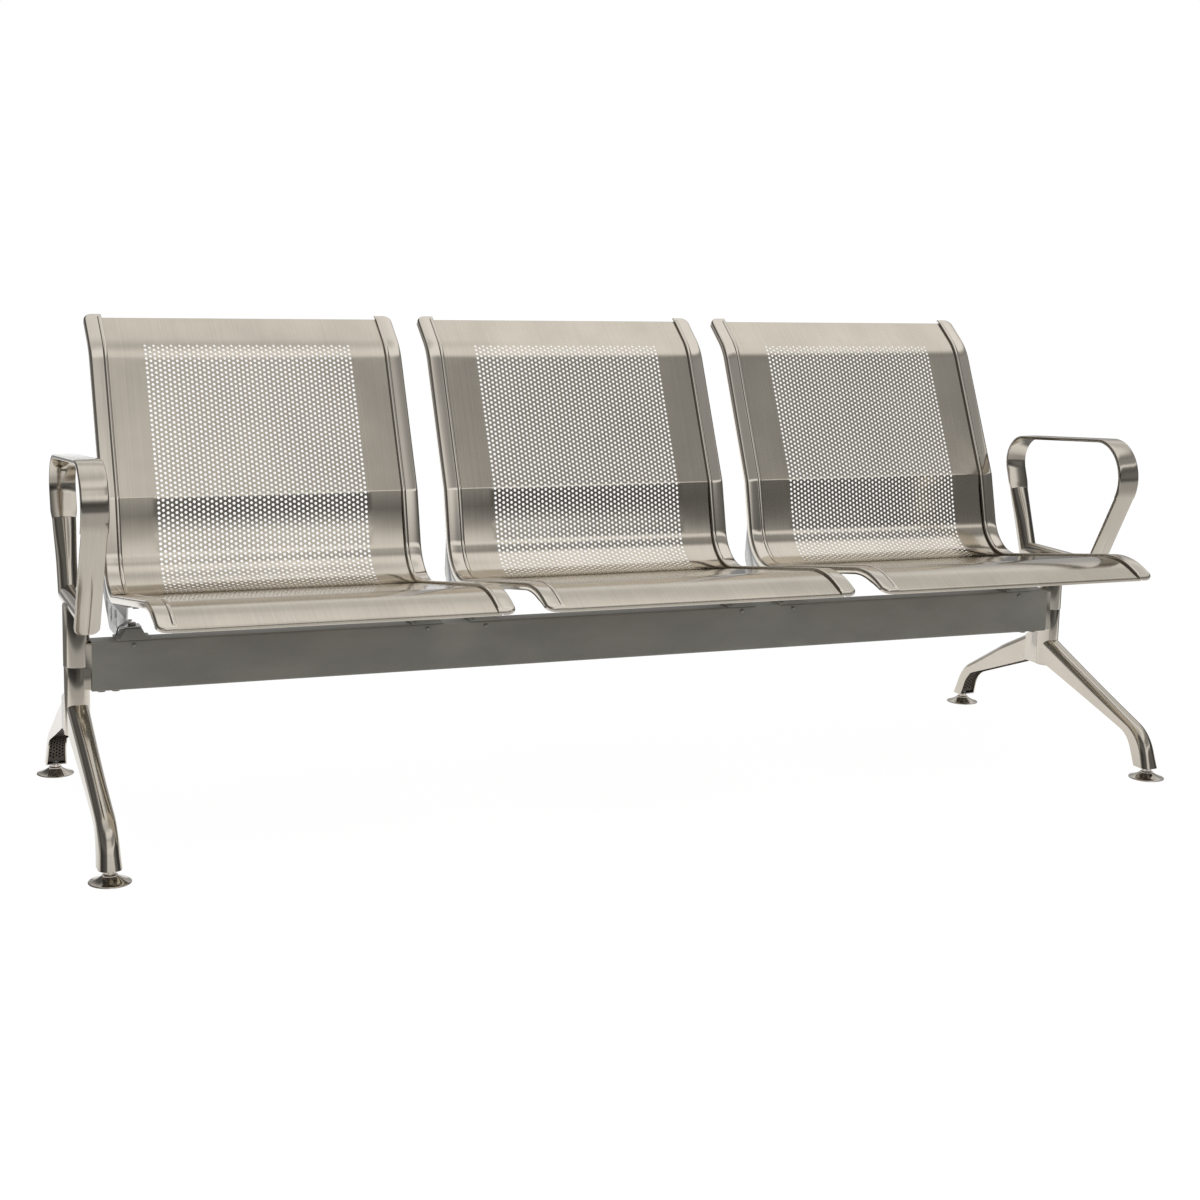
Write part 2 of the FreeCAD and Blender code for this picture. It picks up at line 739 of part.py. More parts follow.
def foot_stud(foot_y):
    """Levelling stud with its hexagon, standing in the pad."""
    tip = pad_floor + foot_gap
    shank = rod(stud_diameter, Vector(post_x, foot_y, tip), up, stud_top - tip)
    middle = Vector(post_x, foot_y, pad_height + foot_gap)
    radius = nut_across / math.sqrt(3)
    corners = [middle + Vector(radius * math.cos(turn), radius * math.sin(turn), 0)
               for turn in (math.radians(60 * k) for k in range(7))]
    nut = Part.Face(Part.makePolygon(corners)).extrude(up * nut_height)
    return shank.fuse(nut).removeSplitter()


front_drop = unit((0, 0), (arm_front_slope, -1.0))
rear_drop = unit((0, 0), (-arm_rear_slope, -1.0))


def at_height(corner, direction, height):
    return along(corner, direction, (height - corner[1]) / direction[1])


front_joint = at_height(arm_front_corner, front_drop, arm_front_corner[1] - arm_front_joint_drop)
rear_joint = at_height(arm_rear_corner, rear_drop, arm_rear_corner[1] - arm_rear_joint_drop)
bar_at_base = at_height(arm_front_corner, front_drop, arm_base_height)
tube_at_base = at_height(arm_rear_corner, rear_drop, arm_base_height)
mitre = unit((0, 0), (rear_drop[0] - 1.0, rear_drop[1]))


def armrest_strip():
    """Flat bar that forms the top and the two upper bends of an armrest."""
    path = [rear_joint, arm_rear_corner, arm_front_corner, front_joint]
    radii = [arm_rear_radius, arm_front_radius]
    half = strip_gauge / 2
    strip = band((path, radii), half, -half, post_x - strip_width / 2, strip_width)
    outer_face = Part.Wire(rounded(*shifted(path, radii, half), post_x))
    return strip.makeFillet(strip_edge_radius, side_rims(strip, outer_face, post_x, strip_width))


def armrest_front_bar():
    """Straight lower part of the armrest's front, ending in a rounded tongue."""
    end = at_height(arm_front_corner, front_drop, arm_base_height - bar_tongue)
    half = strip_gauge / 2
    bar = band(([front_joint, end], []), half, -half, post_x - bar_width / 2, bar_width)
    corners = [edge for edge in bar.Edges
               if abs(edge.Length - strip_gauge) < 0.01 and edge.CenterOfMass.z < arm_base_height]
    return bar.makeFillet(bar_tongue_radius, corners)


def trim_block(point, normal):
    """A large block with one face through the point, on the side that the normal names."""
    across = Vector(0, -normal[1], normal[0])
    corner = place(point, post_x) - (across + Vector(1, 0, 0)) * (block_size / 2)
    wide, tall = Vector(block_size, 0, 0), across * block_size
    ring = [corner, corner + wide, corner + wide + tall, corner + tall, corner]
    return Part.Face(Part.makePolygon(ring)).extrude(Vector(0, *normal) * block_size)


def armrest_tube():
    """Rear part of the armrest: flattened at the strip, round below, mitred to the base tube."""
    start = place(rear_joint, post_x)
    axis = Vector(0, *rear_drop)
    length = math.dist(rear_joint, tube_at_base) + arm_tube_diameter
    tube = necked(start, axis, length, 0.0)
    inside = necked(start + axis * arm_tube_wall, axis, length, arm_tube_wall)
    return tube.cut(inside).cut(trim_block(tube_at_base, mitre))


def necked(start, axis, length, wall):
    """An oval that turns round along its neck, and runs on as a rod."""
    half_width, half_depth = arm_neck_width / 2 - wall, arm_neck_depth / 2 - wall
    diameter = arm_tube_diameter - 2 * wall
    side = axis.cross(Vector(1, 0, 0))
    oval = Part.Ellipse(start + Vector(half_width, 0, 0), start + side * half_depth, start)
    neck_end = start + axis * arm_neck_length
    round_end = Part.Circle(neck_end, axis, diameter / 2)
    neck = Part.makeLoft([Part.Wire(oval.toShape()), Part.Wire(round_end.toShape())], True)
    return neck.fuse(rod(diameter, neck_end, axis, length - arm_neck_length))


def armrest_base():
    """Level base tube of the armrest with the sleeve and spigot that stand on the leg post."""
    front = bar_at_base[0] - arm_tube_diameter
    start = Vector(post_x, front, arm_base_height)
    length = tube_at_base[0] + arm_tube_diameter - front
    ahead = Vector(0, 1, 0)
    foot = Vector(post_x, beam_centre_y, post_top)
    rise = arm_base_height - post_top
    spigot = post_diameter - 2 * post_wall - 2 * spigot_gap
    body = rod(arm_tube_diameter, start, ahead, length).fuse(rod(sleeve_diameter, foot, up, rise))
    body = body.fuse(rod(spigot, foot - up * spigot_length, up, spigot_length + sleeve_roof))
    body = body.cut(rod(arm_tube_diameter - 2 * arm_tube_wall, start, ahead, length))
    hollow = spigot_length + rise - arm_tube_diameter / 2 - sleeve_roof
    body = body.cut(rod(spigot - 2 * arm_tube_wall, foot - up * (spigot_length + cut_past), up,
                        hollow + cut_past))
    body = body.cut(trim_block(tube_at_base, (-mitre[0], -mitre[1])))
    bar_face = along(bar_at_base, right_of(front_drop), -strip_gauge / 2)
    return body.cut(trim_block(bar_face, right_of(front_drop)))


def moved(shape, x):
    copy = shape.copy()
    copy.translate(Vector(x, 0, 0))
    return copy


def seat_x(index):
    return (index - (len(seat_names) - 1) / 2) * seat_pitch


def pair(shape):
    return Part.makeCompound([mirrored(shape), shape])


def seat_nodes():
    sheet, rail, bracket = seat_sheet(), edge_rail(), seat_bracket()
    saddles = pair(saddle())
    fasteners = [seat_screw(reach) for reach in seat_screw_reaches] + [saddle_bolt(), clamp_screw()]
    screws = Part.makeCompound([pair(fastener) for fastener in fasteners])
    nodes = {}
    for k, name in enumerate(seat_names):
        x = seat_x(k)
        nodes["seat_sheet_" + name] = moved(sheet, x)
        for side, one_rail, one_bracket in (("l", mirrored(rail), mirrored(bracket)),
                                            ("r", rail, bracket)):
            nodes["edge_rail_" + name + "_" + side] = moved(one_rail, x)
            nodes["seat_bracket_" + name + "_" + side] = moved(one_bracket, x)
        nodes["beam_saddles_" + name] = moved(saddles, x)
        nodes["seat_screws_" + name] = moved(screws, x)
    return nodes


def end_frame():
    """The leg frame and armrest of the right-hand end, by name."""
    pieces = {"leg_post": leg_post(), "armrest_base": armrest_base(),
              "armrest_tube": armrest_tube(), "armrest_strip": armrest_strip(),
              "armrest_front_bar": armrest_front_bar()}
    for name, lines, foot_y in (("front", front_leg_lines(), front_foot_y),
                                ("rear", rear_leg_lines(), rear_foot_y)):
        shell, plate, socket = leg_pieces(lines, foot_y)
        pieces[name + "_leg"] = shell
        pieces[name + "_leg_plate"] = plate
        pieces[name + "_socket"] = socket
        pieces[name + "_foot_pad"] = foot_pad(foot_y)
        pieces[name + "_foot_stud"] = foot_stud(foot_y)
    return pieces


def bench():
    nodes = seat_nodes()
    nodes["beam"] = beam()
    nodes["beam_end_bolts"] = stub_bolts()
    for name, shape in end_frame().items():
        nodes[name + "_l"] = mirrored(shape)
        nodes[name + "_r"] = shape
    return nodes


os.makedirs("parts", exist_ok=True)
nodes = bench()
box = FreeCAD.BoundBox()
for shape in nodes.values():
    box.add(shape.optimalBoundingBox(False))

# The middle of the outline on the floor becomes the origin
to_origin = Vector(0, -box.Center.y, -box.ZMin)
for name, shape in nodes.items():
    shape.translate(to_origin)
    shape.exportStep("parts/" + name + ".step")

print("size", round(box.XLength, 2), round(box.YLength, 2), round(box.ZLength, 2))
print("moved by", round(to_origin.y, 3), round(to_origin.z, 3))
print("feet at x", round(post_x, 3), "y", round(front_foot_y + to_origin.y, 3),
      round(rear_foot_y + to_origin.y, 3))
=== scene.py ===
import bmesh
import bpy
import json
import math
import numpy as np
from mathutils import Matrix, Vector
from mathutils.geometry import delaunay_2d_cdt


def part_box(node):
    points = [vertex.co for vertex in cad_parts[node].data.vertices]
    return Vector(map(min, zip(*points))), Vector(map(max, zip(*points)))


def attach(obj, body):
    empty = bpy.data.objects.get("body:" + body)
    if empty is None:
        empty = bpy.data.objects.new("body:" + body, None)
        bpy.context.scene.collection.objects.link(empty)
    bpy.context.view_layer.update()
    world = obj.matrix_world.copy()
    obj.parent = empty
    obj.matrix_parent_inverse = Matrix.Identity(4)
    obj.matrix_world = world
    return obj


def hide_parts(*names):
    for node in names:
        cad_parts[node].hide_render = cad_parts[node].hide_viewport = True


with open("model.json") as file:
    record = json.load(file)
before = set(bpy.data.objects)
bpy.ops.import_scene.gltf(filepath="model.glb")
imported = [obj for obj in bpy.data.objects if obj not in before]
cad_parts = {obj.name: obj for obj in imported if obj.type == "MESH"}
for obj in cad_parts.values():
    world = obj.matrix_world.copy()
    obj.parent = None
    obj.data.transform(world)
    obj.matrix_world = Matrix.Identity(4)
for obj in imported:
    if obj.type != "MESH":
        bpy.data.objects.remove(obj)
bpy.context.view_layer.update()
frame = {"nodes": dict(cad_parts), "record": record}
nodes = frame["nodes"]
mm = 0.001

# Sizes of the bench in millimetres, as in its solids; side profiles are (y, z) points
beam_front = -5.0
beam_centre_y = 15.0
shift_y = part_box("beam")[0][1] / mm - beam_front
seat_places = {"left": -590.0, "middle": 0.0, "right": 590.0}
ends = {"l": -1.0, "r": 1.0}
sheet_half = 247.5
sheet_gauge = 1.5
back_top = (323.0, 786.0)
seat_corners = [(261.0, 738.0), (147.5, 499.0), (108.7, 343.8), (-299.0, 408.3)]
seat_front = (-361.0, 380.5)
lower_back_hollow = 2.4           # how far the flat under the crease sinks in
lower_back_middle = 455.0
lower_back_radius = 500.0
roll_radius, lumbar_radius, hip_radius, knee_radius = 100.0, 12.0, 76.0, 140.0
hem_depth = 7.0
front_hem_depth = 8.6             # deeper than in the solids, as in the photo
hem_return = 14.0
hem_radius = 3.49

# Fine perforation of the seats, which the solids show as a coarse grid
seat_holes = {"Columns": 49, "Rows": 54, "Pitch": 8.5, "Hole Diameter": 5.0, "Hole Sides": 12}
first_row_height = 741.0

# Edge rails
sheet_edge = 240.5
rail_width = 30.0
rail_depth = 10.0
rail_nose_depth = 4.0
rail_rise = 3.0
rail_gauge = 1.5
rail_ridge_rise = 4.6
rail_ridge_crown = 1.5            # of that rise, what its round top takes
rail_ridge_width = 7.0
rail_ridge_inset = 7.0
rail_ridge_runout = 6.0
rail_groove_step = 0.15
rail_groove_width = 0.9
rail_top_crown = 0.9
rail_lumbar_radius = 40.0
rail_past_top = 7.0
rail_past_front = 3.0
rail_nose_length = 47.0
rail_corner_radius = 15.0
rail_edge_radius = 4.5
rail_slot_width = 8.0
rail_slot_gap = 0.3
rail_thinnest = 0.5
rail_foot_radius = 1.0
rail_foot_cut = 0.3
rail_hair = 0.1                   # least distance between points of its outline
rail_end_stations = [0.0, 0.15, 0.5, 1.0, 1.49, 1.51, 2.2, 3.0, 3.8, 4.5, 5.5, 7.0, 8.0, 9.0,
                     10.0, 11.5, 13.0, 15.0, 18.0]

# Beam
beam_depth = 40.0
beam_height = 80.0
beam_bottom = 212.0
beam_wall = 2.0
beam_corner = 4.0
beam_inner_corner = 2.0
beam_rim = 0.3
beam_half_length = 899.2

# Legs and their closing plates
post_x = 920.0
post_bottom = 142.0
hub_back = 62.0
hub_back_height = 52.0
leg_root_width = 35.0
leg_waist_width = 30.0
leg_foot_width = 35.0
leg_waist_share = 0.78
leg_gauge = 2.0
leg_crown_radius = 13.5
leg_lip = 7.0
leg_start_radius = 19.3           # the front leg comes out of the post this far from its axis
leg_end_height = 20.0
leg_end_half = 16.0
leg_bend_radius, ankle_radius, inner_ankle_radius = 400.0, 75.0, 52.0
foot_front, foot_rear = -305.0, 298.0
leg_lines = {
    "front": ([(beam_centre_y - 5.0, post_bottom + 56.0), (-140.0, 140.5), (-299.0, 80.0),
               (foot_front - leg_end_half, leg_end_height)],
              [(beam_centre_y - 5.0, post_bottom + 8.0), (-262.0, 71.5),
               (foot_front + leg_end_half, leg_end_height)]),
    "rear": ([(hub_back, post_bottom + hub_back_height), (150.0, 154.0), (292.0, 76.0),
              (foot_rear + leg_end_half, leg_end_height)],
             [(hub_back, post_bottom - 1.5), (266.0, 67.0),
              (foot_rear - leg_end_half, leg_end_height)]),
}
plate_recess = 4.0
plate_gauge = 1.2
plate_side_gap = 0.6
plate_start = {"front": 36.0, "rear": 8.6}
plate_end_gap = 4.0
plate_first_row = 8.0
plate_plain_length = 12.0
plate_holes = {"Columns": 5, "Pitch": 6.4, "Hole Diameter": 4.0, "Hole Sides": 10}

# Armrests
arm_base_height = 353.0
post_top = 252.0
sleeve_diameter = 42.0
spigot_radius = 17.9
spigot_length = 40.0
strip_width = 42.0
strip_gauge = 6.5
strip_edge_radius = 2.5
strip_inner_edge = 0.8
strip_crown = 0.35
strip_taper_width = 3.0
strip_taper_length = 14.0
bar_width = 39.0
bar_edge_radius = 1.6
bar_crown = 0.25
bar_tongue = 27.0
bar_crease_start = 75.0
bar_crease_runout = 25.0
bar_crease_half = 1.6
bar_crease_depth = 0.45
bar_tongue_radius = 12.0
bar_end_stations = [0.0, 0.15, 0.5, 1.1, 2.0, 3.2, 4.8, 6.6, 8.5, 10.2, 12.0]
arm_front_corner = (-250.8, 604.0)
arm_rear_corner = (174.9, 569.2)
arm_front_radius, arm_rear_radius = 66.0, 50.0
arm_front_slope = 0.547
arm_rear_slope = 0.36
arm_front_joint_drop = 109.0
arm_rear_joint_drop = 99.2
arm_tube_diameter = 33.0
arm_neck_width = 38.0
arm_neck_depth = 25.0
arm_neck_length = 75.0

# Feet
pad_radius = 31.5
pad_hub_radius = 11.0
pad_height = 12.5
pad_floor = 3.0
pad_bore_radius = 5.05
pad_cone_foot, pad_cone_top = (30.5, 2.0), (11.5, 11.0)
pad_dish = 1.2
on_axis = 0.01                    # radius at which a turned form closes
stud_radius = 5.0
stud_bottom, stud_top = 3.3, 40.0
thread_bottom, thread_top = 17.0, 39.5
thread_pitch = 1.5
thread_depth = 0.6
stud_point = 0.8
hexagon_across = 16.0
hexagon_bottom, hexagon_top = 12.8, 18.3
hexagon_cut = 0.7
hexagon_face_radius, hexagon_corner_radius = 8.05, 9.3

# The photograph's camera, from the bench's edges: place in metres, turns in degrees
camera_x, camera_y, camera_z = -1.33958, -3.10106, 0.95402
camera_yaw, camera_pitch, camera_roll = 22.7986, 8.3905, 1.5045
camera_focal = 1965.2             # in the photo's pixels
photo_size = 1200
photo_axis_row = 520
sensor_width = 36.0


def operator(operation, swapped=False):
    """A method that adds a Math node for one of Python's operators."""
    def apply(first, second):
        values = (second, first) if swapped else (first, second)
        return first.maker.math(operation, *values)
    return apply


class Field:
    """A value in a node tree, on which Python's operators add Math nodes."""

    def __init__(self, maker, socket):
        self.maker, self.socket = maker, socket

    def math(self, operation, *others):
        return self.maker.math(operation, self, *others)

    __add__ = __radd__ = operator("ADD")
    __sub__ = operator("SUBTRACT")
    __rsub__ = operator("SUBTRACT", swapped=True)
    __mul__ = __rmul__ = operator("MULTIPLY")
    __truediv__ = operator("DIVIDE")

    def within(self, low, high):
        """0 up to low and 1 from high, with a smooth step between."""
        return self.maker.value("ShaderNodeMapRange", {0: self, 1: low, 2: high},
                                interpolation_type="SMOOTHSTEP")


class Maker:
    """Adds the nodes of one tree."""

    def __init__(self, tree):
        self.tree = tree
        tree.nodes.clear()

    def node(self, kind, sockets=None, **settings):
        made = self.tree.nodes.new(kind)
        for key, value in settings.items():
            setattr(made, key, value)
        for key, value in (sockets or {}).items():
            value = getattr(value, "socket", value)
            if isinstance(value, bpy.types.NodeSocket):
                self.tree.links.new(value, made.inputs[key])
            else:
                made.inputs[key].default_value = value
        return made

    def value(self, kind, sockets=None, key=0, **settings):
        """One output of a new node."""
        return Field(self, self.node(kind, sockets, **settings).outputs[key])

    def several(self, keys, kind, sockets=None):
        """Some outputs of one new node."""
        made = self.node(kind, sockets)
        return [Field(self, made.outputs[key]) for key in keys]

    def math(self, operation, *values):
        return self.value("ShaderNodeMath", dict(enumerate(values)), operation=operation)

    def ramp(self, value, stops):
        made = self.node("ShaderNodeValToRGB", {0: value})
        elements = made.color_ramp.elements
        while len(elements) < len(stops):
            elements.new(0.5)
        for element, (position, tone) in zip(elements, stops):
            element.position = position
            element.color = grey(tone)
        return Field(self, made.outputs[0])

    def blend(self, factor, first, second):
        """A colour between two colours."""
        return self.value("ShaderNodeMix", {0: factor, 6: first, 7: second}, 2, data_type="RGBA")

    def position(self, scale):
        """Object coordinates, stretched by a scale along each axis."""
        place = self.value("ShaderNodeTexCoord", key="Object")
        return self.value("ShaderNodeMapping", {"Vector": place, "Scale": scale})

    def noise(self, scale, detail=2.0, roughness=0.5):
        return self.value("ShaderNodeTexNoise", {
            "Vector": self.position(scale), "Scale": 1.0, "Detail": detail,
            "Roughness": roughness}, "Fac")


def grey(value):
    return (value, value, value, 1.0)


def shade(colour, share):
    return tuple(c * share for c in colour) + (1.0,)


def new_material(name):
    made = bpy.data.materials.new(name)
    made.use_nodes = True
    return made, Maker(made.node_tree)


def close(maker, sockets, height, distance):
    """Ends a material in one Principled surface, with a bump as deep as the distance."""
    sockets["Normal"] = maker.value("ShaderNodeBump", {"Height": height, "Distance": distance})
    surface = maker.value("ShaderNodeBsdfPrincipled", sockets)
    maker.node("ShaderNodeOutputMaterial", {"Surface": surface})


def polished(name, colour, grain_scale, rough, grain, marks=0.06, tone_play=0.08):
    """Metal with fine drawn grain, cloudy wipe marks and a slight change of tone."""
    made, maker = new_material(name)
    lines = maker.noise(grain_scale, 3.0, 0.6)
    clouds = maker.noise((9.0, 9.0, 9.0), 3.0, 0.55)
    tone = clouds * 0.55 + lines * 0.45
    base = maker.blend(tone.within(0.3, 0.7), shade(colour, 1 - tone_play),
                       shade(colour, 1 + tone_play / 2))
    roughness = rough + (clouds - 0.5) * marks + (lines - 0.5) * grain
    close(maker, {"Base Color": base, "Metallic": 1.0, "Roughness": roughness},
          lines, grain * 0.00012)
    return made


def painted(name, colour, rough):
    """Hard paint with a fine pebbled skin, and wear that shows as lighter rubs."""
    made, maker = new_material(name)
    pebble = maker.noise((1400.0, 1400.0, 1400.0), 2.0)
    clouds = maker.noise((6.0, 14.0, 14.0), 4.0, 0.6)
    rubs = maker.noise((40.0, 160.0, 160.0), 5.0, 0.7).within(0.62, 0.8)
    base = maker.blend(clouds.within(0.3, 0.75), shade(colour, 0.9), shade(colour, 1.1))
    base = maker.blend(rubs * 0.2, base, shade(colour, 1.8))
    close(maker, {"Base Color": base, "Roughness": rough + (clouds - 0.5) * 0.12},
          pebble, 0.00002)
    return made


def zinc(name, colour):
    """Zinc plate: pale, dull, with soft blotches where the light catches the crystals."""
    made, maker = new_material(name)
    blotch = maker.value("ShaderNodeTexVoronoi", {
        "Vector": maker.position((160.0, 160.0, 160.0)), "Scale": 1.0}, "Distance")
    clouds = maker.noise((22.0, 22.0, 22.0), 3.0)
    tone = blotch * 0.5 + clouds * 0.5
    base = maker.blend(tone.within(0.2, 0.7), shade(colour, 0.88), shade(colour, 1.06))
    close(maker, {"Base Color": base, "Metallic": 1.0, "Roughness": 0.34 + (clouds - 0.5) * 0.2},
          blotch, 0.00001)
    return made


# Tones, and how many lines of grain a metre holds along each axis
seat_tone, seat_grain = (0.63, 0.575, 0.490), (900.0, 2.0, 2.0)
rail_tone, rail_grain = (0.69, 0.635, 0.555), (500.0, 20.0, 20.0)
frame_tone = (0.60, 0.550, 0.475)
leg_grain, arm_grain = (30.0, 30.0, 700.0), (400.0, 25.0, 25.0)
plate_tone, plate_grain = (0.085, 0.072, 0.062), (300.0, 300.0, 40.0)
foot_tone, foot_grain = (0.58, 0.535, 0.47), (200.0, 200.0, 200.0)
screw_tone, screw_grain = (0.30, 0.29, 0.265), (300.0, 300.0, 300.0)
zinc_tone = (0.62, 0.62, 0.61)
paint_tone = (0.245, 0.237, 0.207)
materials = {
    "seat_steel": polished("seat brushed steel", seat_tone, seat_grain, rough=0.14, grain=0.06,
                           marks=0.03, tone_play=0.11),
    "chromed_rail": polished("chromed rail", rail_tone, rail_grain, rough=0.09, grain=0.02,
                             marks=0.04, tone_play=0.05),
    "zinc_plate": zinc("zinc plated bracket", zinc_tone),
    "beam_paint": painted("beam paint", paint_tone, rough=0.42),
    "leg_steel": polished("polished leg", frame_tone, leg_grain, rough=0.12, grain=0.03,
                          marks=0.04),
    "armrest_steel": polished("polished armrest", frame_tone, arm_grain, rough=0.12, grain=0.03,
                              marks=0.04),
    "plate_steel": polished("dark closing plate", plate_tone, plate_grain, rough=0.42,
                            grain=0.08),
    "foot_chrome": polished("foot chrome", foot_tone, foot_grain, rough=0.10, grain=0.03),
    "fastener": polished("bright fastener", screw_tone, screw_grain, rough=0.30, grain=0.05),
}
slot_of = {part["node"]: part["material_slot"] for part in frame["record"]["subparts"]}
for name, slot_name in slot_of.items():
    for holder in nodes[name].material_slots:
        holder.material = materials[slot_name]


def unit(start, end):
    dy, dz = end[0] - start[0], end[1] - start[1]
    length = math.hypot(dy, dz)
    return dy / length, dz / length


def along(start, direction, distance):
    return start[0] + direction[0] * distance, start[1] + direction[1] * distance


def right_of(direction):
    return direction[1], -direction[0]


def at_height(corner, direction, height):
    return along(corner, direction, (height - corner[1]) / direction[1])


class SideLine:
    """A rounded path of (y, z) points in millimetres, read by the length along it."""

    def __init__(self, points, radii):
        samples = [(*points[0], self.heading(points[0], points[1]))]
        for k, radius in enumerate(radii, start=1):
            angle = self.heading(points[k - 1], points[k])
            turn = self.heading(points[k], points[k + 1]) - angle
            turn = (turn + math.pi) % (2 * math.pi) - math.pi
            bow = math.copysign(radius, turn)
            into = unit(points[k], points[k - 1])
            start = along(points[k], into, bow * math.tan(turn / 2))
            centre = (start[0] - bow * math.sin(angle), start[1] + bow * math.cos(angle))
            count = max(2, int(abs(math.degrees(turn)) * 2))
            for step in range(count + 1):
                heading = angle + turn * step / count
                samples.append((centre[0] + bow * math.sin(heading),
                                centre[1] - bow * math.cos(heading), heading))
        samples.append((*points[-1], self.heading(points[-2], points[-1])))
        table = np.array(samples)
        steps = np.hypot(np.diff(table[:, 0]), np.diff(table[:, 1]))
        self.reach = np.concatenate([[0.0], np.cumsum(steps)])
        self.y, self.z = table[:, 0], table[:, 1]
        self.angle = np.unwrap(table[:, 2])
        self.length = float(self.reach[-1])

    @staticmethod
    def heading(start, end):
        return math.atan2(end[1] - start[1], end[0] - start[0])

    def place(self, reach, offset=0.0):
        """(y, z) at the reaches, the offset to the right of the path."""
        angle = np.interp(reach, self.reach, self.angle)
        y = np.interp(reach, self.reach, self.y) + offset * np.sin(angle)
        z = np.interp(reach, self.reach, self.z) - offset * np.cos(angle)
        return y, z

    def reach_below(self, height):
        """How far along the path it first comes below the height."""
        k = int(np.argmax(self.z < height))
        return float(np.interp(-height, -self.z[k - 1:k + 1], self.reach[k - 1:k + 1]))

    def stations(self, turn=4.0, run=30.0):
        """Reaches close enough together for the bends to look round."""
        found = [0.0]
        last_angle = self.angle[0]
        for reach, angle in zip(self.reach, self.angle):
            far = reach - found[-1] > run or abs(angle - last_angle) > math.radians(turn)
            if far and reach - found[-1] > 0.05:
                found.append(float(reach))
                last_angle = angle
        if self.length - found[-1] > 0.05:
            found.append(self.length)
        return found


def finish_mesh(mesh, finish, sharp=35.0, turn_out=True):
    made = bmesh.new()
    made.from_mesh(mesh)
    if turn_out:
        bmesh.ops.recalc_face_normals(made, faces=made.faces)
    made.to_mesh(mesh)
    made.free()
    mesh.shade_smooth()
    mesh.set_sharp_from_angle(angle=math.radians(sharp))
    mesh.materials.clear()
    mesh.materials.append(materials[finish])


def new_piece(name, form, finish, body, node, turn_out=True):
    """A (vertices, faces) form in millimetres as a piece of the bench, in a node's place."""
    vertices, faces = form
    mesh = bpy.data.meshes.new(name)
    mesh.from_pydata(((vertices + (0.0, shift_y, 0.0)) * mm).tolist(), [], faces)
    finish_mesh(mesh, finish, turn_out=turn_out)
    placed(name, mesh, finish, body, node)


def in_scene(name, data):
    made = bpy.data.objects.new(name, data)
    bpy.context.scene.collection.objects.link(made)
    return made


def placed(name, mesh, finish, body, node, bevel=0.0):
    """A mesh as a piece of the bench, with its sharp edges softened if a bevel is given."""
    obj = in_scene(name, mesh)
    if bevel:
        edge = obj.modifiers.new("edges", "BEVEL")
        edge.width = bevel * mm
        edge.segments = 2
        edge.limit_method = "ANGLE"
        edge.angle_limit = math.radians(40)
        obj.data = evaluated_mesh(obj)
        obj.modifiers.clear()
        finish_mesh(obj.data, finish, sharp=50.0)
    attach(obj, body)
    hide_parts(node)


def evaluated_mesh(obj):
    """A mesh of what the object's modifiers make."""
    graph = bpy.context.evaluated_depsgraph_get()
    return bpy.data.meshes.new_from_object(obj.evaluated_get(graph), depsgraph=graph)


def loft(rings, closed=False):
    """Vertices and faces through rings of as many points each: capped, or joined end to end."""
    count, total = len(rings[0]), len(rings) * len(rings[0])
    faces = []
    for first in range(0, total if closed else total - count, count):
        second = (first + count) % total
        faces += [(first + i, first + (i + 1) % count, second + (i + 1) % count, second + i)
                  for i in range(count)]
    if not closed:
        faces.append(tuple(reversed(range(count))))
        faces.append(tuple(range(total - count, total)))
    return np.concatenate([np.asarray(ring, float) for ring in rings]), faces


def merged(*forms):
    """Several (vertices, faces) forms as one."""
    vertices, faces, start = [], [], 0
    for points, polygons in forms:
        vertices.append(points)
        faces += [tuple(v + start for v in polygon) for polygon in polygons]
        start += len(points)
    return np.concatenate(vertices), faces


def arc(radius, start, end, steps):
    """Points (u, v) of an arc about (0, 0) between two angles in degrees."""
    angles = np.radians(np.linspace(start, end, steps + 1))
    return [(radius * math.cos(a), radius * math.sin(a)) for a in angles]


def section_at(line, reach, section):
    """Ring of a (u, v) section set square to the line: u along X, v to its right."""
    u, v = np.array(section).T
    y, z = line.place(np.full(len(u), reach), v)
    return np.stack([u, y, z], axis=1)


def rounded_end(past_end, radius):
    """How much a corner of the radius takes off the width this far from the end."""
    past = min(max(radius - past_end, 0.0), radius)
    return radius - math.sqrt(radius ** 2 - past ** 2)


def clamped(share):
    return min(max(share, 0.0), 1.0)


def eased(share):
    """A smooth step from 0 to 1."""
    share = clamped(share)
    return share * share * (3 - 2 * share)


def sheet_line():
    """Side line of a seat sheet with the folds at its ends."""
    top = unit(back_top, seat_corners[0])
    front = unit(seat_corners[-1], seat_front)
    top_fold = along(back_top, right_of(top), -hem_depth)
    front_fold = along(seat_front, right_of(front), -front_hem_depth)
    lumbar, hip = seat_corners[1:3]
    down = unit(lumbar, hip)
    hollow = along(at_height(lumbar, down, lower_back_middle), right_of(down), -lower_back_hollow)
    points = [along(top_fold, top, hem_return), top_fold, back_top] + seat_corners[:2]
    points += [hollow] + seat_corners[2:]
    points += [seat_front, front_fold, along(front_fold, front, -hem_return)]
    radii = [roll_radius, lumbar_radius, lower_back_radius, hip_radius, knee_radius]
    return SideLine(points, [hem_radius] * 2 + radii + [hem_radius] * 2)


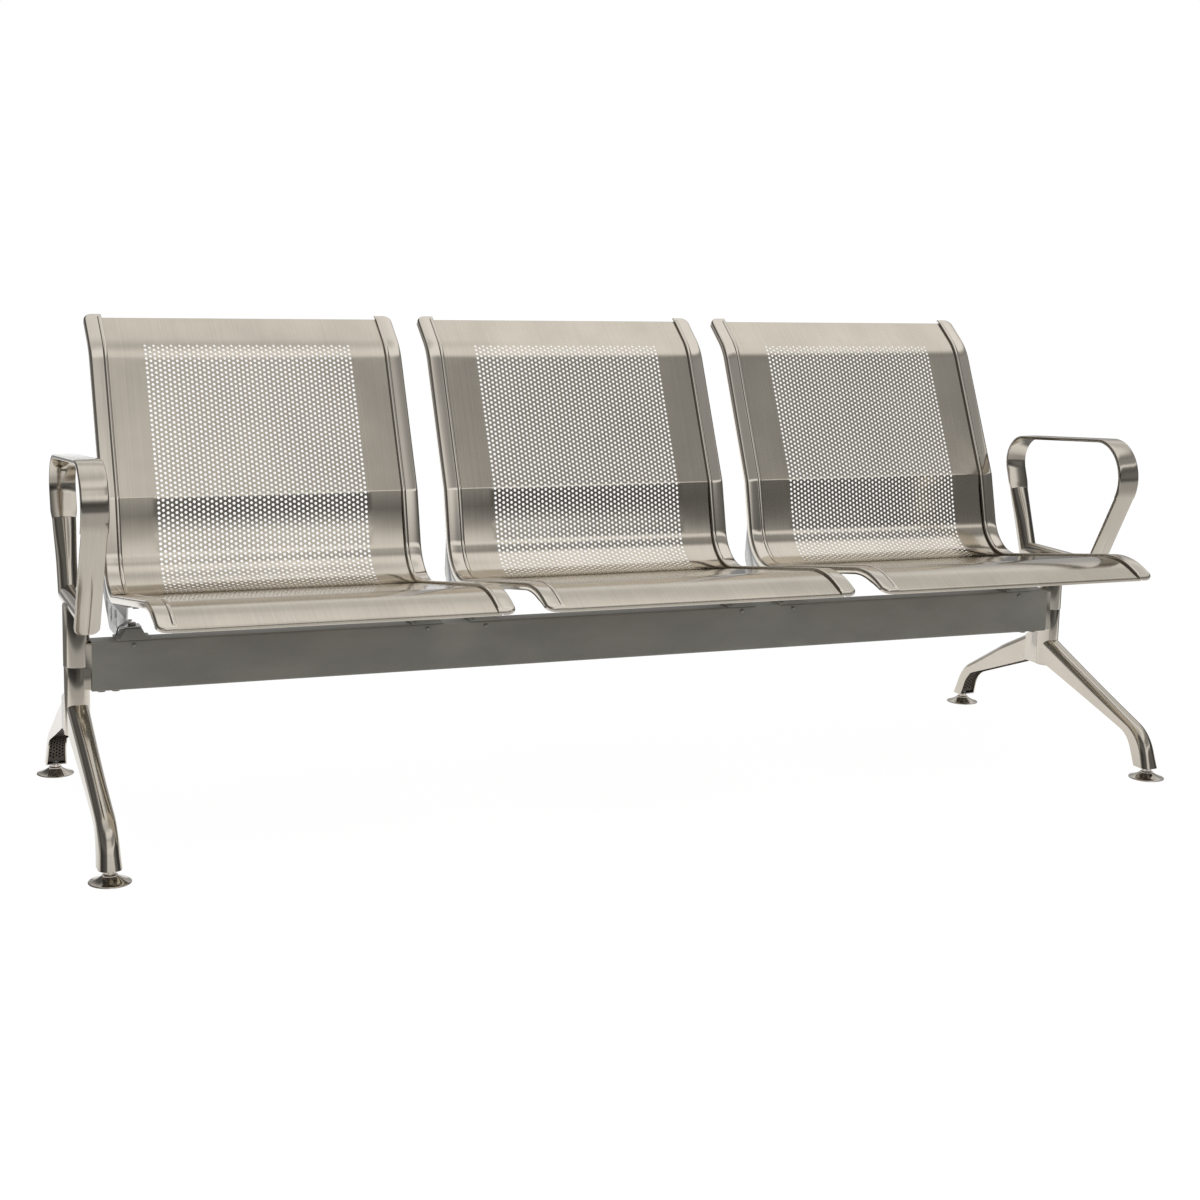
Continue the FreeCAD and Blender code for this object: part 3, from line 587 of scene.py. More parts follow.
def perforation_tree():
    """Geometry Nodes for a flat field of six-sided cells, each with a round hole."""
    tree = bpy.data.node_groups.new("perforation", "GeometryNodeTree")
    tree.interface.new_socket("Geometry", in_out="OUTPUT", socket_type="NodeSocketGeometry")
    for label, kind in (("Columns", "Int"), ("Rows", "Int"), ("Pitch", "Float"),
                        ("Hole Diameter", "Float"), ("Hole Sides", "Int"), ("Finish", "Material")):
        tree.interface.new_socket(label, in_out="INPUT", socket_type="NodeSocket" + kind)
    maker = Maker(tree)
    columns, rows, pitch, diameter, sides, finish = maker.several(range(6), "NodeGroupInput")
    index = maker.value("GeometryNodeInputIndex")
    column = (index / rows).math("FLOOR")
    across = (column - (columns - 1) / 2) * (pitch * math.sqrt(0.75))
    down = (index - column * rows + column.math("MODULO", 2.0) / 2) * pitch
    centres = maker.value("ShaderNodeCombineXYZ", {"X": across, "Y": down})
    points = maker.value("GeometryNodePoints", {"Count": columns * rows, "Position": centres})
    rings = maker.node("GeometryNodeJoinGeometry")
    for corners, radius in ((6, pitch / math.sqrt(3)), (sides, diameter / 2)):
        ring = maker.value("GeometryNodeCurvePrimitiveCircle",
                           {"Resolution": corners, "Radius": radius})
        tree.links.new(ring.socket, rings.inputs[0])
    cell = maker.value("GeometryNodeFillCurve", {"Curve": rings.outputs[0]})
    cells = maker.value("GeometryNodeInstanceOnPoints", {"Points": points, "Instance": cell})
    real = maker.value("GeometryNodeRealizeInstances", {"Geometry": cells})
    welded = maker.value("GeometryNodeMergeByDistance", {"Geometry": real, "Distance": 0.05})
    faced = maker.value("GeometryNodeSetMaterial", {"Geometry": welded, "Material": finish})
    maker.node("NodeGroupOutput", {0: faced})
    return tree


def grown(tree, values):
    """Vertices and triangles of what a Geometry Nodes tree makes with its inputs' values."""
    holder = in_scene(tree.name, bpy.data.meshes.new(tree.name))
    modifier = holder.modifiers.new(tree.name, "NODES")
    modifier.node_group = tree
    for item in tree.interface.items_tree:
        if item.in_out == "INPUT":
            modifier[item.identifier] = values[item.name]
    mesh = evaluated_mesh(holder)
    bpy.data.objects.remove(holder)
    mesh.calc_loop_triangles()
    places = np.array([v.co for v in mesh.vertices])
    triangles = np.array([t.vertices for t in mesh.loop_triangles])
    bpy.data.meshes.remove(mesh)
    return places, triangles


def lone_edges(triangles):
    """Directed edges that only one triangle has."""
    edges = np.concatenate([triangles[:, [0, 1]], triangles[:, [1, 2]], triangles[:, [2, 0]]])
    size = int(edges.max()) + 1
    forward = edges[:, 0] * size + edges[:, 1]
    backward = edges[:, 1] * size + edges[:, 0]
    return edges[~np.isin(forward, backward)]


def inside(points, ring):
    """Which points lie inside a closed ring of corners."""
    odd = np.zeros(len(points), bool)
    for (ax, ay), (bx, by) in zip(ring, np.roll(ring, -1, axis=0)):
        if ay == by:
            continue
        spans = (points[:, 1] < ay) != (points[:, 1] < by)
        odd ^= spans & (points[:, 0] < (bx - ax) * (points[:, 1] - ay) / (by - ay) + ax)
    return odd


def ring_order(edges):
    """The corners of one closed ring of directed edges, in order."""
    following = dict(edges.tolist())
    start = edges[0, 0]
    ring = [start]
    while following[ring[-1]] != start:
        ring.append(following[ring[-1]])
    return ring


perforation = perforation_tree()


def holed_strip(holes, finish, first_reach, half, stations, across, margin):
    """Flat strip as (x, reach) points and triangles: the perforated field and the plain rest.

    Each station is a reach with points from edge to edge, as many as across says, but none
    nearer to the field than the margin.
    """
    field, field_triangles = grown(perforation, {**holes, "Finish": materials[finish]})
    field = field[:, :2] + (0.0, first_reach)
    lone = lone_edges(field_triangles)
    lengths = np.linalg.norm(field[lone[:, 0]] - field[lone[:, 1]], axis=1)
    ring = ring_order(lone[lengths > holes["Hole Diameter"] * 0.6])
    border = field[ring]
    low, high = border.min(axis=0) - margin, border.max(axis=0) + margin
    points = [Vector(p) for p in border]
    count = len(ring)
    edges = [(k, (k + 1) % count) for k in range(count)]
    columns = np.linspace(-half, half, across)
    edge_ends = []
    for reach in stations:
        if low[1] < reach < high[1]:
            runs = [[x for x in columns if x < low[0]] + [low[0]],
                    [high[0]] + [x for x in columns if x > high[0]]]
        else:
            runs = [list(columns)]
        first = len(points)
        for run in runs:
            start = len(points)
            points += [Vector((x, reach)) for x in run]
            edges += [(k, k + 1) for k in range(start, len(points) - 1)]
        edge_ends.append((first, len(points) - 1))
    for side in (0, 1):
        edges += [(a[side], b[side]) for a, b in zip(edge_ends, edge_ends[1:])]
    made, _, faces, origins, _, _ = delaunay_2d_cdt(points, edges, [], 0, 1e-5)
    plain = np.array([tuple(p) for p in made])
    faces = np.array(faces)
    centres = plain[faces].mean(axis=1)
    faces = faces[~inside(centres, border)]
    number = np.arange(len(plain)) + len(field)
    for k, from_points in enumerate(origins):
        shared = [p for p in from_points if p < count]
        if shared:
            number[k] = ring[shared[0]]
    joined = np.concatenate([field, plain])
    triangles = np.concatenate([field_triangles, number[faces]])
    used, renumbered = np.unique(triangles, return_inverse=True)
    return joined[used], renumbered.reshape(-1, 3)


def bent(flat, triangles, line, offsets):
    """A strip bent along the line: its two sides at the offsets, and the walls of its holes."""
    count = len(flat)
    vertices = [np.stack([flat[:, 0], *line.place(flat[:, 1], offset)], axis=1)
                for offset in offsets]
    a, b = lone_edges(triangles).T
    walls = np.stack([a, b, b + count, a + count], axis=1)
    faces = triangles[:, ::-1].tolist() + (triangles + count).tolist() + walls.tolist()
    return np.concatenate(vertices), faces


def seat_sheets():
    line = sheet_line()
    flat = holed_strip(seat_holes, "seat_steel", line.reach_below(first_row_height), sheet_half,
                       line.stations(), across=18, margin=3.0)
    vertices, faces = bent(*flat, line, (0.0, -sheet_gauge))
    for side, x in seat_places.items():
        new_piece(f"perforated_sheet_{side}", (vertices + (x, 0.0, 0.0), faces), "seat_steel",
                  "bench", f"seat_sheet_{side}", turn_out=False)


def rail_line():
    top = along(back_top, unit(back_top, seat_corners[0]), -rail_past_top)
    front = along(seat_front, unit(seat_corners[-1], seat_front), rail_past_front)
    radii = [roll_radius, rail_lumbar_radius, hip_radius, knee_radius]
    return SideLine([top] + seat_corners + [front], radii)


def rail_section(from_end, depth):
    """Closed (u, v) outline of a rail, this far from its nearer end: u from the seat's middle."""
    rim = rail_edge_radius
    outer_side = sheet_edge + rail_width

    def top(u):
        """Height of the upper side, which rounds over along the outer edge and the ends."""
        across = outer_side - u
        inset = min(across, from_end)
        if across < rail_corner_radius and from_end < rail_corner_radius:
            inset = rail_corner_radius - math.hypot(rail_corner_radius - across,
                                                    rail_corner_radius - from_end)
        return rail_rise - rounded_end(inset, rim)
    outer = outer_side - rounded_end(from_end, rail_corner_radius)
    bead = eased((from_end - rail_ridge_inset) / rail_ridge_runout)
    over = rail_ridge_rise - rail_rise
    half = rail_ridge_width / 2
    ridge = [(sheet_edge + half * (1 + x), over - rail_ridge_crown * (1 - y))
             for x, y in arc(1.0, 180, 0, 10)]
    points = [(u, top(u) + v * bead) for u, v in ridge]
    groove = sheet_edge + rail_ridge_width
    flat = groove + rail_groove_width
    points += [(groove + rail_groove_step, top(groove)), (flat, top(flat))]
    for share in (0.25, 0.5, 0.75, 1.0):
        u = flat + (outer - rim - flat) * share
        points.append((u, top(u) + rail_top_crown * share * (1 - share) * bead))
    for turn in (15, 30, 45, 60, 75, 90):
        u = outer - rim * (1 - math.sin(math.radians(turn)))
        points.append((u, top(u) if turn < 90 else min(rail_rise - rim, top(u))))
    slot = sheet_edge + rail_slot_width
    fold = sheet_edge + rail_gauge
    inner = outer - rail_gauge if from_end > rail_gauge else slot + rail_hair
    roof = min(rail_rise - rail_gauge, top(sheet_edge) - rail_thinnest)
    lip = min(rail_slot_gap, roof - rail_hair)
    points += [(outer, rail_foot_radius - depth), (outer - rail_foot_cut, rail_foot_cut - depth),
               (outer - rail_foot_radius, -depth), (slot, -depth), (slot, rail_gauge - depth),
               (inner, rail_gauge - depth), (inner, roof), (slot, roof), (fold, roof),
               (fold, lip), (sheet_edge, lip)]
    return points


def edge_rails():
    """Pressed channels along the sides of the seats, with a bead beside the sheet."""
    line = rail_line()
    apart = rail_end_stations[-1] + 1.0
    middle = [s for s in line.stations(2.0, 20.0) if apart < s < line.length - apart]
    stations = rail_end_stations + middle + [line.length - s for s in reversed(rail_end_stations)]
    nose = line.length - rail_nose_length
    rings = []
    for reach in stations:
        share = clamped((reach - nose) / rail_nose_length)
        depth = rail_depth + (rail_nose_depth - rail_depth) * share
        section = rail_section(min(reach, line.length - reach), depth)
        rings.append(section_at(line, reach, section))
    points, faces = loft(rings)
    for side, x in seat_places.items():
        for end, way in ends.items():
            form = points * (way, 1.0, 1.0) + (x, 0.0, 0.0), faces
            new_piece(f"pressed_rail_{side}_{end}", form, "chromed_rail", "bench",
                      f"edge_rail_{side}_{end}")


def both_ends(name, form, finish, node, body="bench"):
    """A form about x = 0, set at the bench's right end and mirrored at its left."""
    points, faces = form
    for end, way in ends.items():
        side = "left" if end == "l" else "right"
        new_piece(f"{name}_{end}", ((points + (post_x, 0.0, 0.0)) * (way, 1.0, 1.0), faces),
                  finish, body.format(side=side), f"{node}_{end}")


def leg_width_at(share):
    """Width of a leg: it draws in to a waist and spreads at the foot."""
    before = share < leg_waist_share
    end_width = np.where(before, leg_root_width, leg_foot_width)
    away = np.where(before, 1 - share / leg_waist_share,
                    (share - leg_waist_share) / (1 - leg_waist_share))
    return leg_waist_width + (end_width - leg_waist_width) * away ** 2


class Leg:
    """A stamped leg: flat sides and a rounded crown between two side lines."""

    def __init__(self, crown, under):
        self.crown = SideLine(crown, [leg_bend_radius, ankle_radius])
        self.under = SideLine(under, [inner_ankle_radius])

    def outline(self):
        """The channel's wall as (side, from the middle, from the crown, from the underside)."""
        wall = []
        for inset in (0.0, leg_gauge):
            radius = leg_crown_radius - inset
            run = [(1.0, -inset, None, 0.0), (1.0, -inset, None, leg_lip)]
            for turn in range(0, 91, 9):
                angle = math.radians(turn)
                run.append((1.0, -inset - radius * (1 - math.cos(angle)),
                            inset + radius * (1 - math.sin(angle)), None))
            run.append((0.0, 0.0, inset, None))
            half = run + [(-side, -out, crown, under) for side, out, crown, under
                          in reversed(run[:-1])]
            wall += half if inset == 0.0 else half[::-1]
        return wall

    def at(self, share, side, out, from_crown, from_under):
        """A point of the wall at a share of the leg's length."""
        top = np.array(self.crown.place(share * self.crown.length))
        bottom = np.array(self.under.place(share * self.under.length))
        rise = (top - bottom) / np.hypot(*(top - bottom))
        x = side * leg_width_at(share) / 2 + out
        if from_under is None:
            y, z = top - rise * from_crown
        else:
            y, z = bottom + rise * from_under
        return x, y, z

    def starting(self, place):
        """Share of the length at which a point of the wall comes out of the post."""
        low, high = 0.0, 0.3
        for _ in range(24):
            share = (low + high) / 2
            x, y, _ = self.at(share, *place)
            within = math.hypot(x, y - beam_centre_y) < leg_start_radius
            low, high = (share, high) if within else (low, share)
        return high

    def form(self, in_post):
        outline = self.outline()
        starts = [self.starting(place) if in_post else 0.0 for place in outline]
        rings = []
        for step in np.linspace(0.0, 1.0, 61):
            rings.append([self.at(start + (1 - start) * step, *place)
                          for start, place in zip(starts, outline)])
        return loft(rings)


def legs():
    for name, lines in leg_lines.items():
        leg = Leg(*lines)
        both_ends(f"stamped_{name}_leg", leg.form(name == "front"), "leg_steel", f"{name}_leg")
        closing_plate(name, leg)


def closing_plate(name, leg):
    """Perforated strip in the underside of a leg, as wide as the leg's inside."""
    line = leg.under
    start, end = plate_start[name], line.length - plate_end_gap
    rows = int((end - start - plate_plain_length) / plate_holes["Pitch"])
    half = leg_root_width / 2 - leg_gauge - plate_side_gap
    middle = [s for s in line.stations(3.0, 15.0) if start + 1 < s < end - 1]
    flat, triangles = holed_strip({**plate_holes, "Rows": rows}, "plate_steel",
                                  start + plate_first_row, half, [start] + middle + [end],
                                  across=7, margin=0.8)
    width = leg_width_at(flat[:, 1] / line.length) / 2 - leg_gauge - plate_side_gap
    flat[:, 0] *= width / half
    inward = 1 if name == "front" else -1
    offsets = (inward * plate_recess, inward * (plate_recess + plate_gauge))
    both_ends(f"perforated_plate_{name}", bent(flat, triangles, line, offsets), "plate_steel",
              f"{name}_leg_plate")


def angles_round(sides):
    return np.linspace(0, 2 * math.pi, sides, endpoint=False)


def level_ring(y, radius, z, sides):
    """Points round an upright axis at y; the radius is one number or one for each point."""
    angle = angles_round(sides)
    return np.stack([radius * np.cos(angle), y + radius * np.sin(angle), np.full(sides, z)],
                    axis=1)


def turned(profile, y, sides=64):
    """Form of an (r, z) profile turned about an upright axis; both its ends lie on the axis."""
    return loft([level_ring(y, radius, z, sides) for radius, z in profile])


def tube_ring(middle, upward, half_width, half_depth):
    """Oval ring round a (y, z) middle: the width runs along X, the depth the (y, z) way up."""
    angle = angles_round(64)
    y, z = (m + u * half_depth * np.sin(angle) for m, u in zip(middle, upward))
    return np.stack([half_width * np.cos(angle), y, z], axis=1)


# Lines of an armrest's loop
front_drop = unit((0, 0), (arm_front_slope, -1.0))
rear_drop = unit((0, 0), (-arm_rear_slope, -1.0))
front_joint = at_height(arm_front_corner, front_drop, arm_front_corner[1] - arm_front_joint_drop)
rear_joint = at_height(arm_rear_corner, rear_drop, arm_rear_corner[1] - arm_rear_joint_drop)
bar_end = at_height(arm_front_corner, front_drop, arm_base_height - bar_tongue)
bar_at_base = at_height(arm_front_corner, front_drop, arm_base_height)
tube_at_base = at_height(arm_rear_corner, rear_drop, arm_base_height)
mitre = unit((0, 0), (rear_drop[0] - 1.0, rear_drop[1]))


def strip_section(width, rim, crown, crease=0.0):
    """Closed (u, v) outline of a flat bar: rounded edges, a slight crown and a crease outside."""
    half, deep, inner = width / 2, strip_gauge / 2, strip_inner_edge

    def upper(u):
        dip = crease * max(1 - abs(u) / bar_crease_half, 0.0)
        return deep - crown * (u / half) ** 2 - dip
    across = [half * 0.6, half * 0.3, bar_crease_half, bar_crease_half / 2]
    points = []
    for sign, turns in ((1, range(0, 91, 15)), (-1, range(90, -1, -15))):
        for turn in turns:
            angle = math.radians(turn)
            u = sign * (half - rim * (1 - math.cos(angle)))
            points.append((u, upper(u) - rim * (1 - math.sin(angle))))
        if sign == 1:
            points += [(u, upper(u)) for u in across + [0.0] + [-u for u in reversed(across)]]
    corner = [(half - inner, -deep), (half - inner * 0.3, inner * 0.3 - deep),
              (half, inner - deep)]
    return points + [(-u, v) for u, v in reversed(corner)] + corner


def armrest_strip():
    """Flat bar over the armrest's two bends, which narrows where it meets the rear tube."""
    line = SideLine([rear_joint, arm_rear_corner, arm_front_corner, front_joint],
                    [arm_rear_radius, arm_front_radius])
    section = strip_section(strip_width, strip_edge_radius, strip_crown)
    near = [0.0, 2.0, 4.0, 7.0, 10.0, strip_taper_length]
    rings = []
    for reach in near + [s for s in line.stations(1.5, 25.0) if s > strip_taper_length + 1.0]:
        width = strip_width - strip_taper_width * (1 - eased(reach / strip_taper_length))
        ring = [(u * width / strip_width, v) for u, v in section]
        rings.append(section_at(line, reach, ring))
    return loft(rings)


def armrest_bar():
    """Straight lower bar with a rounded end and a crease that runs out upwards."""
    line = SideLine([front_joint, bar_end], [])
    plain = np.linspace(0.0, line.length - bar_end_stations[-1] - 2.0, 12)
    rings = []
    for reach in list(plain) + [line.length - s for s in reversed(bar_end_stations)]:
        width = bar_width - 2 * rounded_end(line.length - reach, bar_tongue_radius)
        crease = clamped((reach - bar_crease_start) / bar_crease_runout) * bar_crease_depth
        section = strip_section(width, bar_edge_radius, bar_crown, crease)
        rings.append(section_at(line, reach, section))
    return loft(rings)


def onto_mitre(points, direction):
    """Points carried along the (y, z) direction onto the plane where the two tubes meet."""
    gap = (np.array(tube_at_base) - points[:, 1:]) @ mitre
    moved = points.copy()
    moved[:, 1:] += np.outer(gap / np.dot(direction, mitre), direction)
    return moved


def armrest_tube():
    """Rear tube, pressed to an oval at its upper end."""
    length = math.dist(rear_joint, tube_at_base)
    rings = []
    for reach in (0.0, 0.6) + tuple(np.linspace(5.0, arm_neck_length, 10)) + (length,):
        share = clamped(reach / arm_neck_length)
        share = 0.6 * share + 0.4 * eased(share)
        rim = 0.5 if reach == 0.0 else 0.0
        half_width = (arm_neck_width + (arm_tube_diameter - arm_neck_width) * share) / 2 - rim
        half_depth = (arm_neck_depth + (arm_tube_diameter - arm_neck_depth) * share) / 2 - rim
        rings.append(tube_ring(along(rear_joint, rear_drop, reach), (-rear_drop[1], rear_drop[0]),
                               half_width, half_depth))
    rings[-1] = onto_mitre(rings[-1], rear_drop)
    return loft(rings)


def armrest_base():
    """Level tube from the back of the front bar to the mitre with the rear tube."""
    radius = arm_tube_diameter / 2
    ring = tube_ring((0.0, arm_base_height), (0.0, 1.0), radius, radius)
    front = ring.copy()
    face = along(bar_at_base, right_of(front_drop), -strip_gauge / 2)
    front[:, 1] = face[0] + (front[:, 2] - face[1]) * front_drop[0] / front_drop[1]
    return loft([front, onto_mitre(ring, (1.0, 0.0))])


def sleeve():
    """Sleeve between the post and the base tube, with the spigot in the post under it."""
    radius = sleeve_diameter / 2
    spigot_end = post_top - spigot_length
    profile = [(on_axis, spigot_end), (spigot_radius, spigot_end), (spigot_radius, post_top),
               (radius - 0.5, post_top), (radius, post_top + 0.5),
               (radius, arm_base_height - 2.0), (radius - 0.6, arm_base_height - 0.6),
               (radius - 2.0, arm_base_height), (on_axis, arm_base_height)]
    return turned(profile, beam_centre_y)


def armrests():
    for piece, node, form in (("flat_bar", "strip", armrest_strip()),
                              ("tongue_bar", "front_bar", armrest_bar()),
                              ("oval_tube", "tube", armrest_tube()),
                              ("base_tube", "base", merged(armrest_base(), sleeve()))):
        both_ends(f"armrest_{piece}", form, "armrest_steel", f"armrest_{node}")


def beam_ring(inset, corner, x):
    """Points around the beam's section, set in from its outside."""
    half_y, half_z = beam_depth / 2 - inset - corner, beam_height / 2 - inset - corner
    ring = []
    for y, z, start in ((half_y, half_z, 0), (-half_y, half_z, 90), (-half_y, -half_z, 180),
                        (half_y, -half_z, 270)):
        ring += [(x, beam_centre_y + y + a, beam_bottom + beam_height / 2 + z + b)
                 for a, b in arc(corner, start, start + 90, 6)]
    return np.array(ring)


def beam():
    """Painted rectangular tube, open at its ends."""
    walk = [(beam_wall, beam_inner_corner, 0.0), (beam_rim, beam_corner - 0.2, 0.0),
            (0.0, beam_corner, beam_rim)]
    rings = [beam_ring(inset, corner, back - beam_half_length) for inset, corner, back in walk]
    rings += [beam_ring(inset, corner, beam_half_length - back)
              for inset, corner, back in reversed(walk)]
    new_piece("painted_beam", loft(rings, closed=True), "beam_paint", "bench", "beam")


def pad_profile():
    """(r, z) outline of a pad: flat under, a hollow cone on top, a hub with its bore."""
    (foot, low), (top, high) = pad_cone_foot, pad_cone_top
    cone = [(foot + (top - foot) * f, low + (high - low) * f - 4 * pad_dish * f * (1 - f))
            for f in np.linspace(0.0, 1.0, 12)]
    edge = [(on_axis, 0.0), (pad_radius - 1.2, 0.0), (pad_radius - 0.4, 0.35),
            (pad_radius, 1.0), (pad_radius - 0.3, 1.6)]
    hub = [(pad_hub_radius + 0.4, pad_height - 0.5), (pad_hub_radius - 0.4, pad_height - 0.1),
           (pad_hub_radius - 1.2, pad_height)]
    bore = [(pad_bore_radius, pad_height), (pad_bore_radius, pad_floor), (on_axis, pad_floor)]
    return edge + cone + hub + bore


def foot_pads():
    """Dished discs with a hub, and the levelling studs that stand in them."""
    for name, y in (("front", foot_front), ("rear", foot_rear)):
        both_ends(f"dished_pad_{name}", turned(pad_profile(), y, 72), "foot_chrome",
                  f"{name}_foot_pad", name + "_{side}_pad")
        both_ends(f"levelling_stud_{name}", merged(threaded_shank(y), hexagon(y)), "foot_chrome",
                  f"{name}_foot_stud", name + "_{side}_stud")


def threaded_shank(y):
    """Shank of a stud, plain at its foot and threaded from the hexagon up."""
    turn = angles_round(32) / (2 * math.pi)
    thread = list(np.arange(thread_bottom + 0.5, thread_top, thread_pitch / 6))
    rings = []
    for z in [stud_bottom, thread_bottom] + thread + [thread_top + 0.1, stud_top]:
        phase = (z / thread_pitch - turn) % 1.0
        cut = thread_depth * np.abs(2 * phase - 1) * (thread_bottom < z < thread_top)
        cut = cut + stud_point * (z == stud_top)
        rings.append(level_ring(y, stud_radius - cut, z, 32))
    return loft(rings)


def hexagon(y):
    """Hexagon of the stud with its corners turned off at top and bottom."""
    turn = angles_round(48) % (math.pi / 3) - math.pi / 6
    flats = hexagon_across / 2 / np.cos(turn)
    walk = ((hexagon_bottom, hexagon_face_radius),
            (hexagon_bottom + hexagon_cut, hexagon_corner_radius),
            (hexagon_top - hexagon_cut, hexagon_corner_radius), (hexagon_top, hexagon_face_radius))
    return loft([level_ring(y, np.minimum(flats, limit), z, 48) for z, limit in walk])


def dressed(node, bevel):
    """A smooth copy of a node's own form with softened edges, in the node's place."""
    source = nodes[node]
    made = bmesh.new()
    made.from_mesh(source.data)
    made.transform(source.matrix_world)
    bmesh.ops.remove_doubles(made, verts=made.verts, dist=2e-6)
    bmesh.ops.dissolve_limit(made, angle_limit=math.radians(1.0), verts=made.verts,
                             edges=made.edges)
    bmesh.ops.recalc_face_normals(made, faces=made.faces)
    mesh = bpy.data.meshes.new(f"dressed_{node}")
    made.to_mesh(mesh)
    made.free()
    finish = slot_of[node]
    finish_mesh(mesh, finish, sharp=30.0, turn_out=False)
    placed(f"dressed_{node}", mesh, finish, "bench", node, bevel)


def camera():
    """The photograph's standpoint."""
    data = bpy.data.cameras.new("camera")
    data.sensor_width = sensor_width
    data.lens = sensor_width * camera_focal / photo_size
    data.shift_y = (photo_axis_row - photo_size / 2) / photo_size
    made = in_scene("camera", data)
    made.matrix_world = (Matrix.Translation((camera_x, shift_y * mm + camera_y, camera_z))
                         @ Matrix.Rotation(math.radians(-camera_yaw), 4, "Z")
                         @ Matrix.Rotation(math.radians(90 - camera_pitch), 4, "X")
                         @ Matrix.Rotation(math.radians(camera_roll), 4, "Z"))
    bpy.context.scene.camera = made


def world_tone(maker):
    """What the bench's metal sees in each direction: a white studio with dark flags."""
    direction = maker.value("ShaderNodeTexCoord", key="Generated")
    aside, back, height = maker.several("XYZ", "ShaderNodeSeparateXYZ", {0: direction})

    # Ahead of the bench: dark low down, a bright band, and a paler upper half
    skirt = height - (aside - 0.16).within(0.0, 0.8) * 0.28 * (1 - height.within(0.40, 0.60))
    ahead = maker.ramp(skirt, [
        (0.0, 0.14), (0.10, 0.09), (0.19, 0.09), (0.25, 0.18), (0.32, 0.50), (0.39, 0.95),
        (0.45, 1.02), (0.55, 0.86), (0.67, 0.88), (0.71, 0.70), (0.75, 0.66), (0.82, 1.0),
        (0.90, 0.98), (0.97, 0.66), (1.0, 0.72)])
    ahead = ahead + aside.within(0.30, 0.50) * (1 - skirt.within(0.20, 0.30)) * 0.06
    flag = aside.within(0.12, 0.38) * height.within(0.44, 0.58) * (1 - height.within(0.70, 0.84))
    gleam = aside.within(0.16, 0.30) * skirt.within(0.27, 0.33) * (1 - skirt.within(0.44, 0.54))
    ahead = ahead * (1 - flag * 0.60) * (1 + gleam * 0.40)

    # Behind it, with a darker place low on the right
    behind = maker.ramp(height, [
        (0.0, 1.2), (0.05, 0.95), (0.14, 0.45), (0.34, 0.48), (0.58, 0.90), (0.66, 0.70),
        (0.77, 0.70), (0.86, 0.98), (1.0, 0.88)])
    low_right = aside.within(0.30, 0.55) * (1 - height.within(0.05, 0.20))
    behind = behind * (1 - low_right * 0.55)
    tone = ahead + (behind - ahead) * back.within(-0.15, 0.25)

    # High on the right a glow, and a flag at each side
    glow = aside.within(0.25, 0.45) * height.within(0.74, 0.84)
    tone = tone * (1 + glow * (0.45 - back.within(0.10, 0.40) * 0.35))
    left_flag = (0.02 - aside).within(0.0, 0.30) * (1 - height.within(0.88, 0.98))
    left_flag = left_flag * (0.50 + height.within(0.18, 0.34) * 0.34)
    right_flag = aside.within(0.70, 0.90) * (1 - height.within(0.70, 0.90))
    return tone * (1 - left_flag) * (1 - right_flag * 0.70)


def studio():
    """White for the camera, plain soft light for diffuse rays, the toned studio for metal."""
    world = bpy.data.worlds.new("studio")
    bpy.context.scene.world = world
    world.use_nodes = True
    maker = Maker(world.node_tree)
    tone = maker.blend(world_tone(maker), grey(0.0), grey(1.0))
    metal, soft, white = (
        maker.value("ShaderNodeBackground", {"Color": colour, "Strength": strength})
        for colour, strength in ((tone, 1.0), (grey(0.8), 0.8), (grey(1.0), 1.0)))
    diffuse, straight = maker.several(("Is Diffuse Ray", "Is Camera Ray"), "ShaderNodeLightPath")
    mixed = maker.value("ShaderNodeMixShader", {0: diffuse, 1: metal, 2: soft})
    mixed = maker.value("ShaderNodeMixShader", {0: straight, 1: mixed, 2: white})
    maker.node("ShaderNodeOutputWorld", {"Surface": mixed})


def softbox():
    data = bpy.data.lights.new("softbox", "AREA")
    data.shape = "RECTANGLE"
    data.size, data.size_y = 3.4, 2.2
    data.energy = 30.0
    lamp = in_scene("softbox", data)
    lamp.matrix_world = (Matrix.Translation((0.3, -0.9, 3.0))
                         @ Matrix.Rotation(math.radians(18), 4, "X"))
    lamp.visible_glossy = False


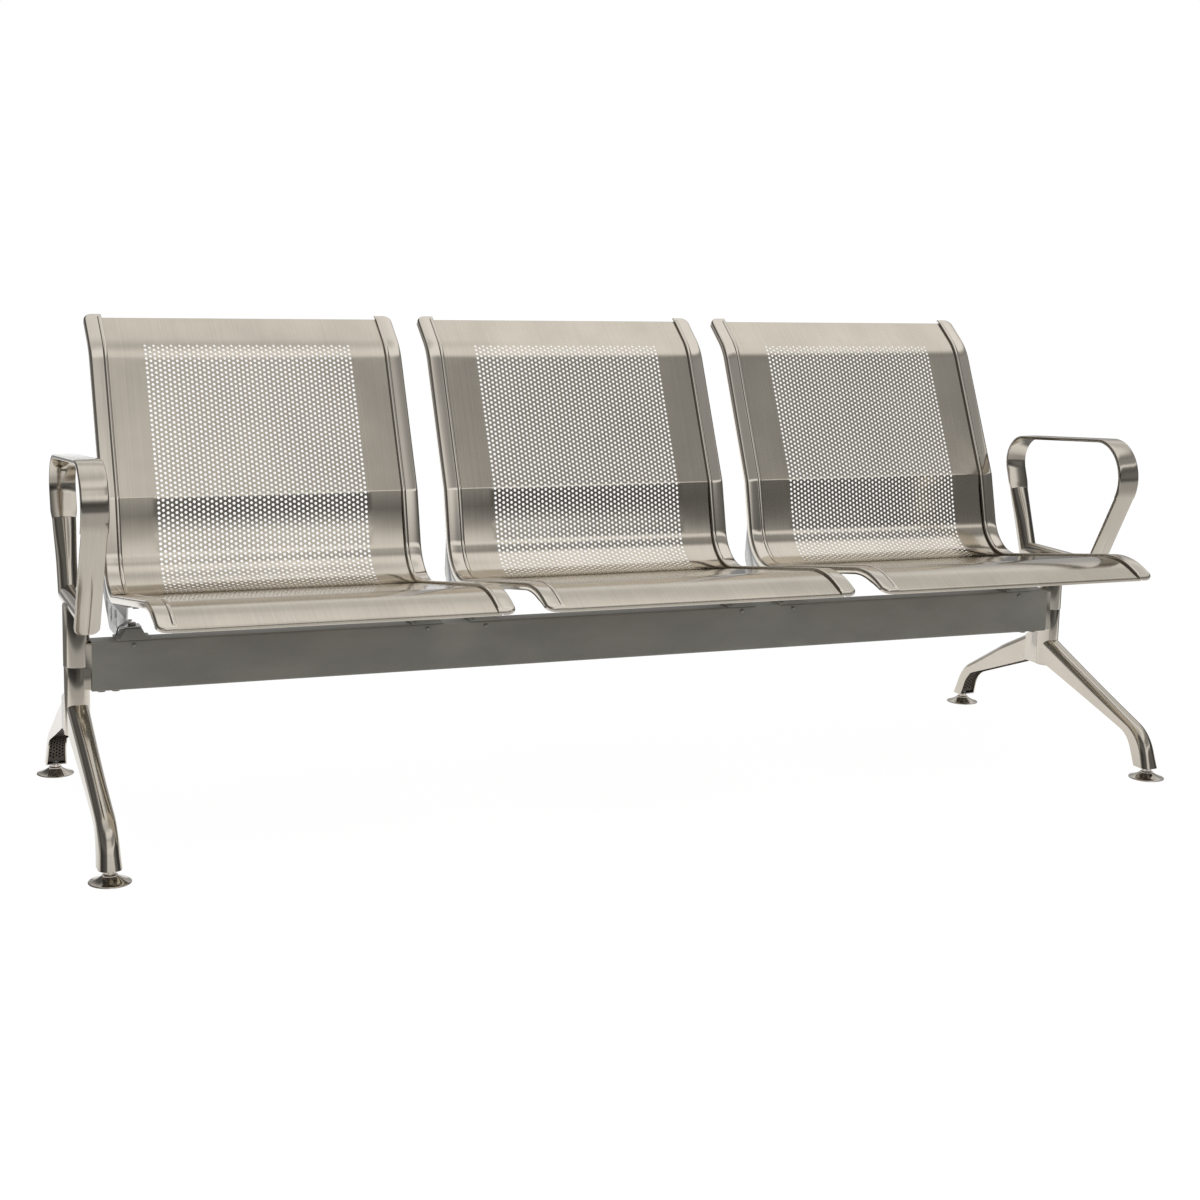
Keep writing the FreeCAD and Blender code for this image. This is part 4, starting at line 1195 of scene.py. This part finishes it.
def floor_tone(maker):
    """How bright the floor looks in metal: less ahead of the bench, far behind and beside it."""
    across, back = maker.several("XY", "ShaderNodeSeparateXYZ",
                                 {0: maker.position((1.0, 1.0, 1.0))})
    lit = 0.50 + (back + 0.9).within(0.0, 1.1) * 0.50
    lit = lit * (1 - (-1.9 - back).within(0.0, 1.9) * 0.80)
    lit = lit * (1 - across.within(0.2, 2.2) * (-0.3 - back).within(0.0, 0.5) * 0.25)
    far_back = (back - 2.0).within(0.0, 2.0)
    lit = lit * (1 + far_back * 0.25 - far_back * (across - 1.0).within(0.0, 2.5) * 0.65)
    beside = across.math("ABSOLUTE").within(1.15, 1.45) * (back - 0.05).within(0.0, 0.25)
    return lit * (1 - beside * 0.85)


def studio_floor():
    """Wide pale floor, as white as the background for the camera and toned for metal."""
    half = 30.0
    mesh = bpy.data.meshes.new("floor")
    mesh.from_pydata([(-half, -half, 0), (half, -half, 0), (half, half, 0), (-half, half, 0)],
                     [], [(0, 1, 2, 3)])
    finish, maker = new_material("studio floor")
    diffuse = maker.value("ShaderNodeBsdfDiffuse", {"Color": grey(0.9)})
    straight, in_metal, in_glass = maker.several(
        ("Is Camera Ray", "Is Glossy Ray", "Is Transmission Ray"), "ShaderNodeLightPath")
    seen = straight.math("MAXIMUM", in_metal).math("MAXIMUM", in_glass)
    tone = straight + (1 - straight) * floor_tone(maker)
    glow = maker.value("ShaderNodeEmission", {"Color": grey(1.0), "Strength": tone * 1.06})
    mixed = maker.value("ShaderNodeMixShader", {0: seen * 0.90, 1: diffuse, 2: glow})
    maker.node("ShaderNodeOutputMaterial", {"Surface": mixed})
    mesh.materials.append(finish)
    in_scene("floor", mesh)


seat_sheets()
edge_rails()
legs()
armrests()
foot_pads()
for side in seat_places:
    for end in "lr":
        dressed(f"seat_bracket_{side}_{end}", 0.5)
    dressed(f"beam_saddles_{side}", 0.8)
    dressed(f"seat_screws_{side}", 0.3)
for end in "lr":
    dressed(f"leg_post_{end}", 0.5)
beam()
camera()
studio()
softbox()
studio_floor()
bpy.context.scene.view_settings.view_transform = "Standard"
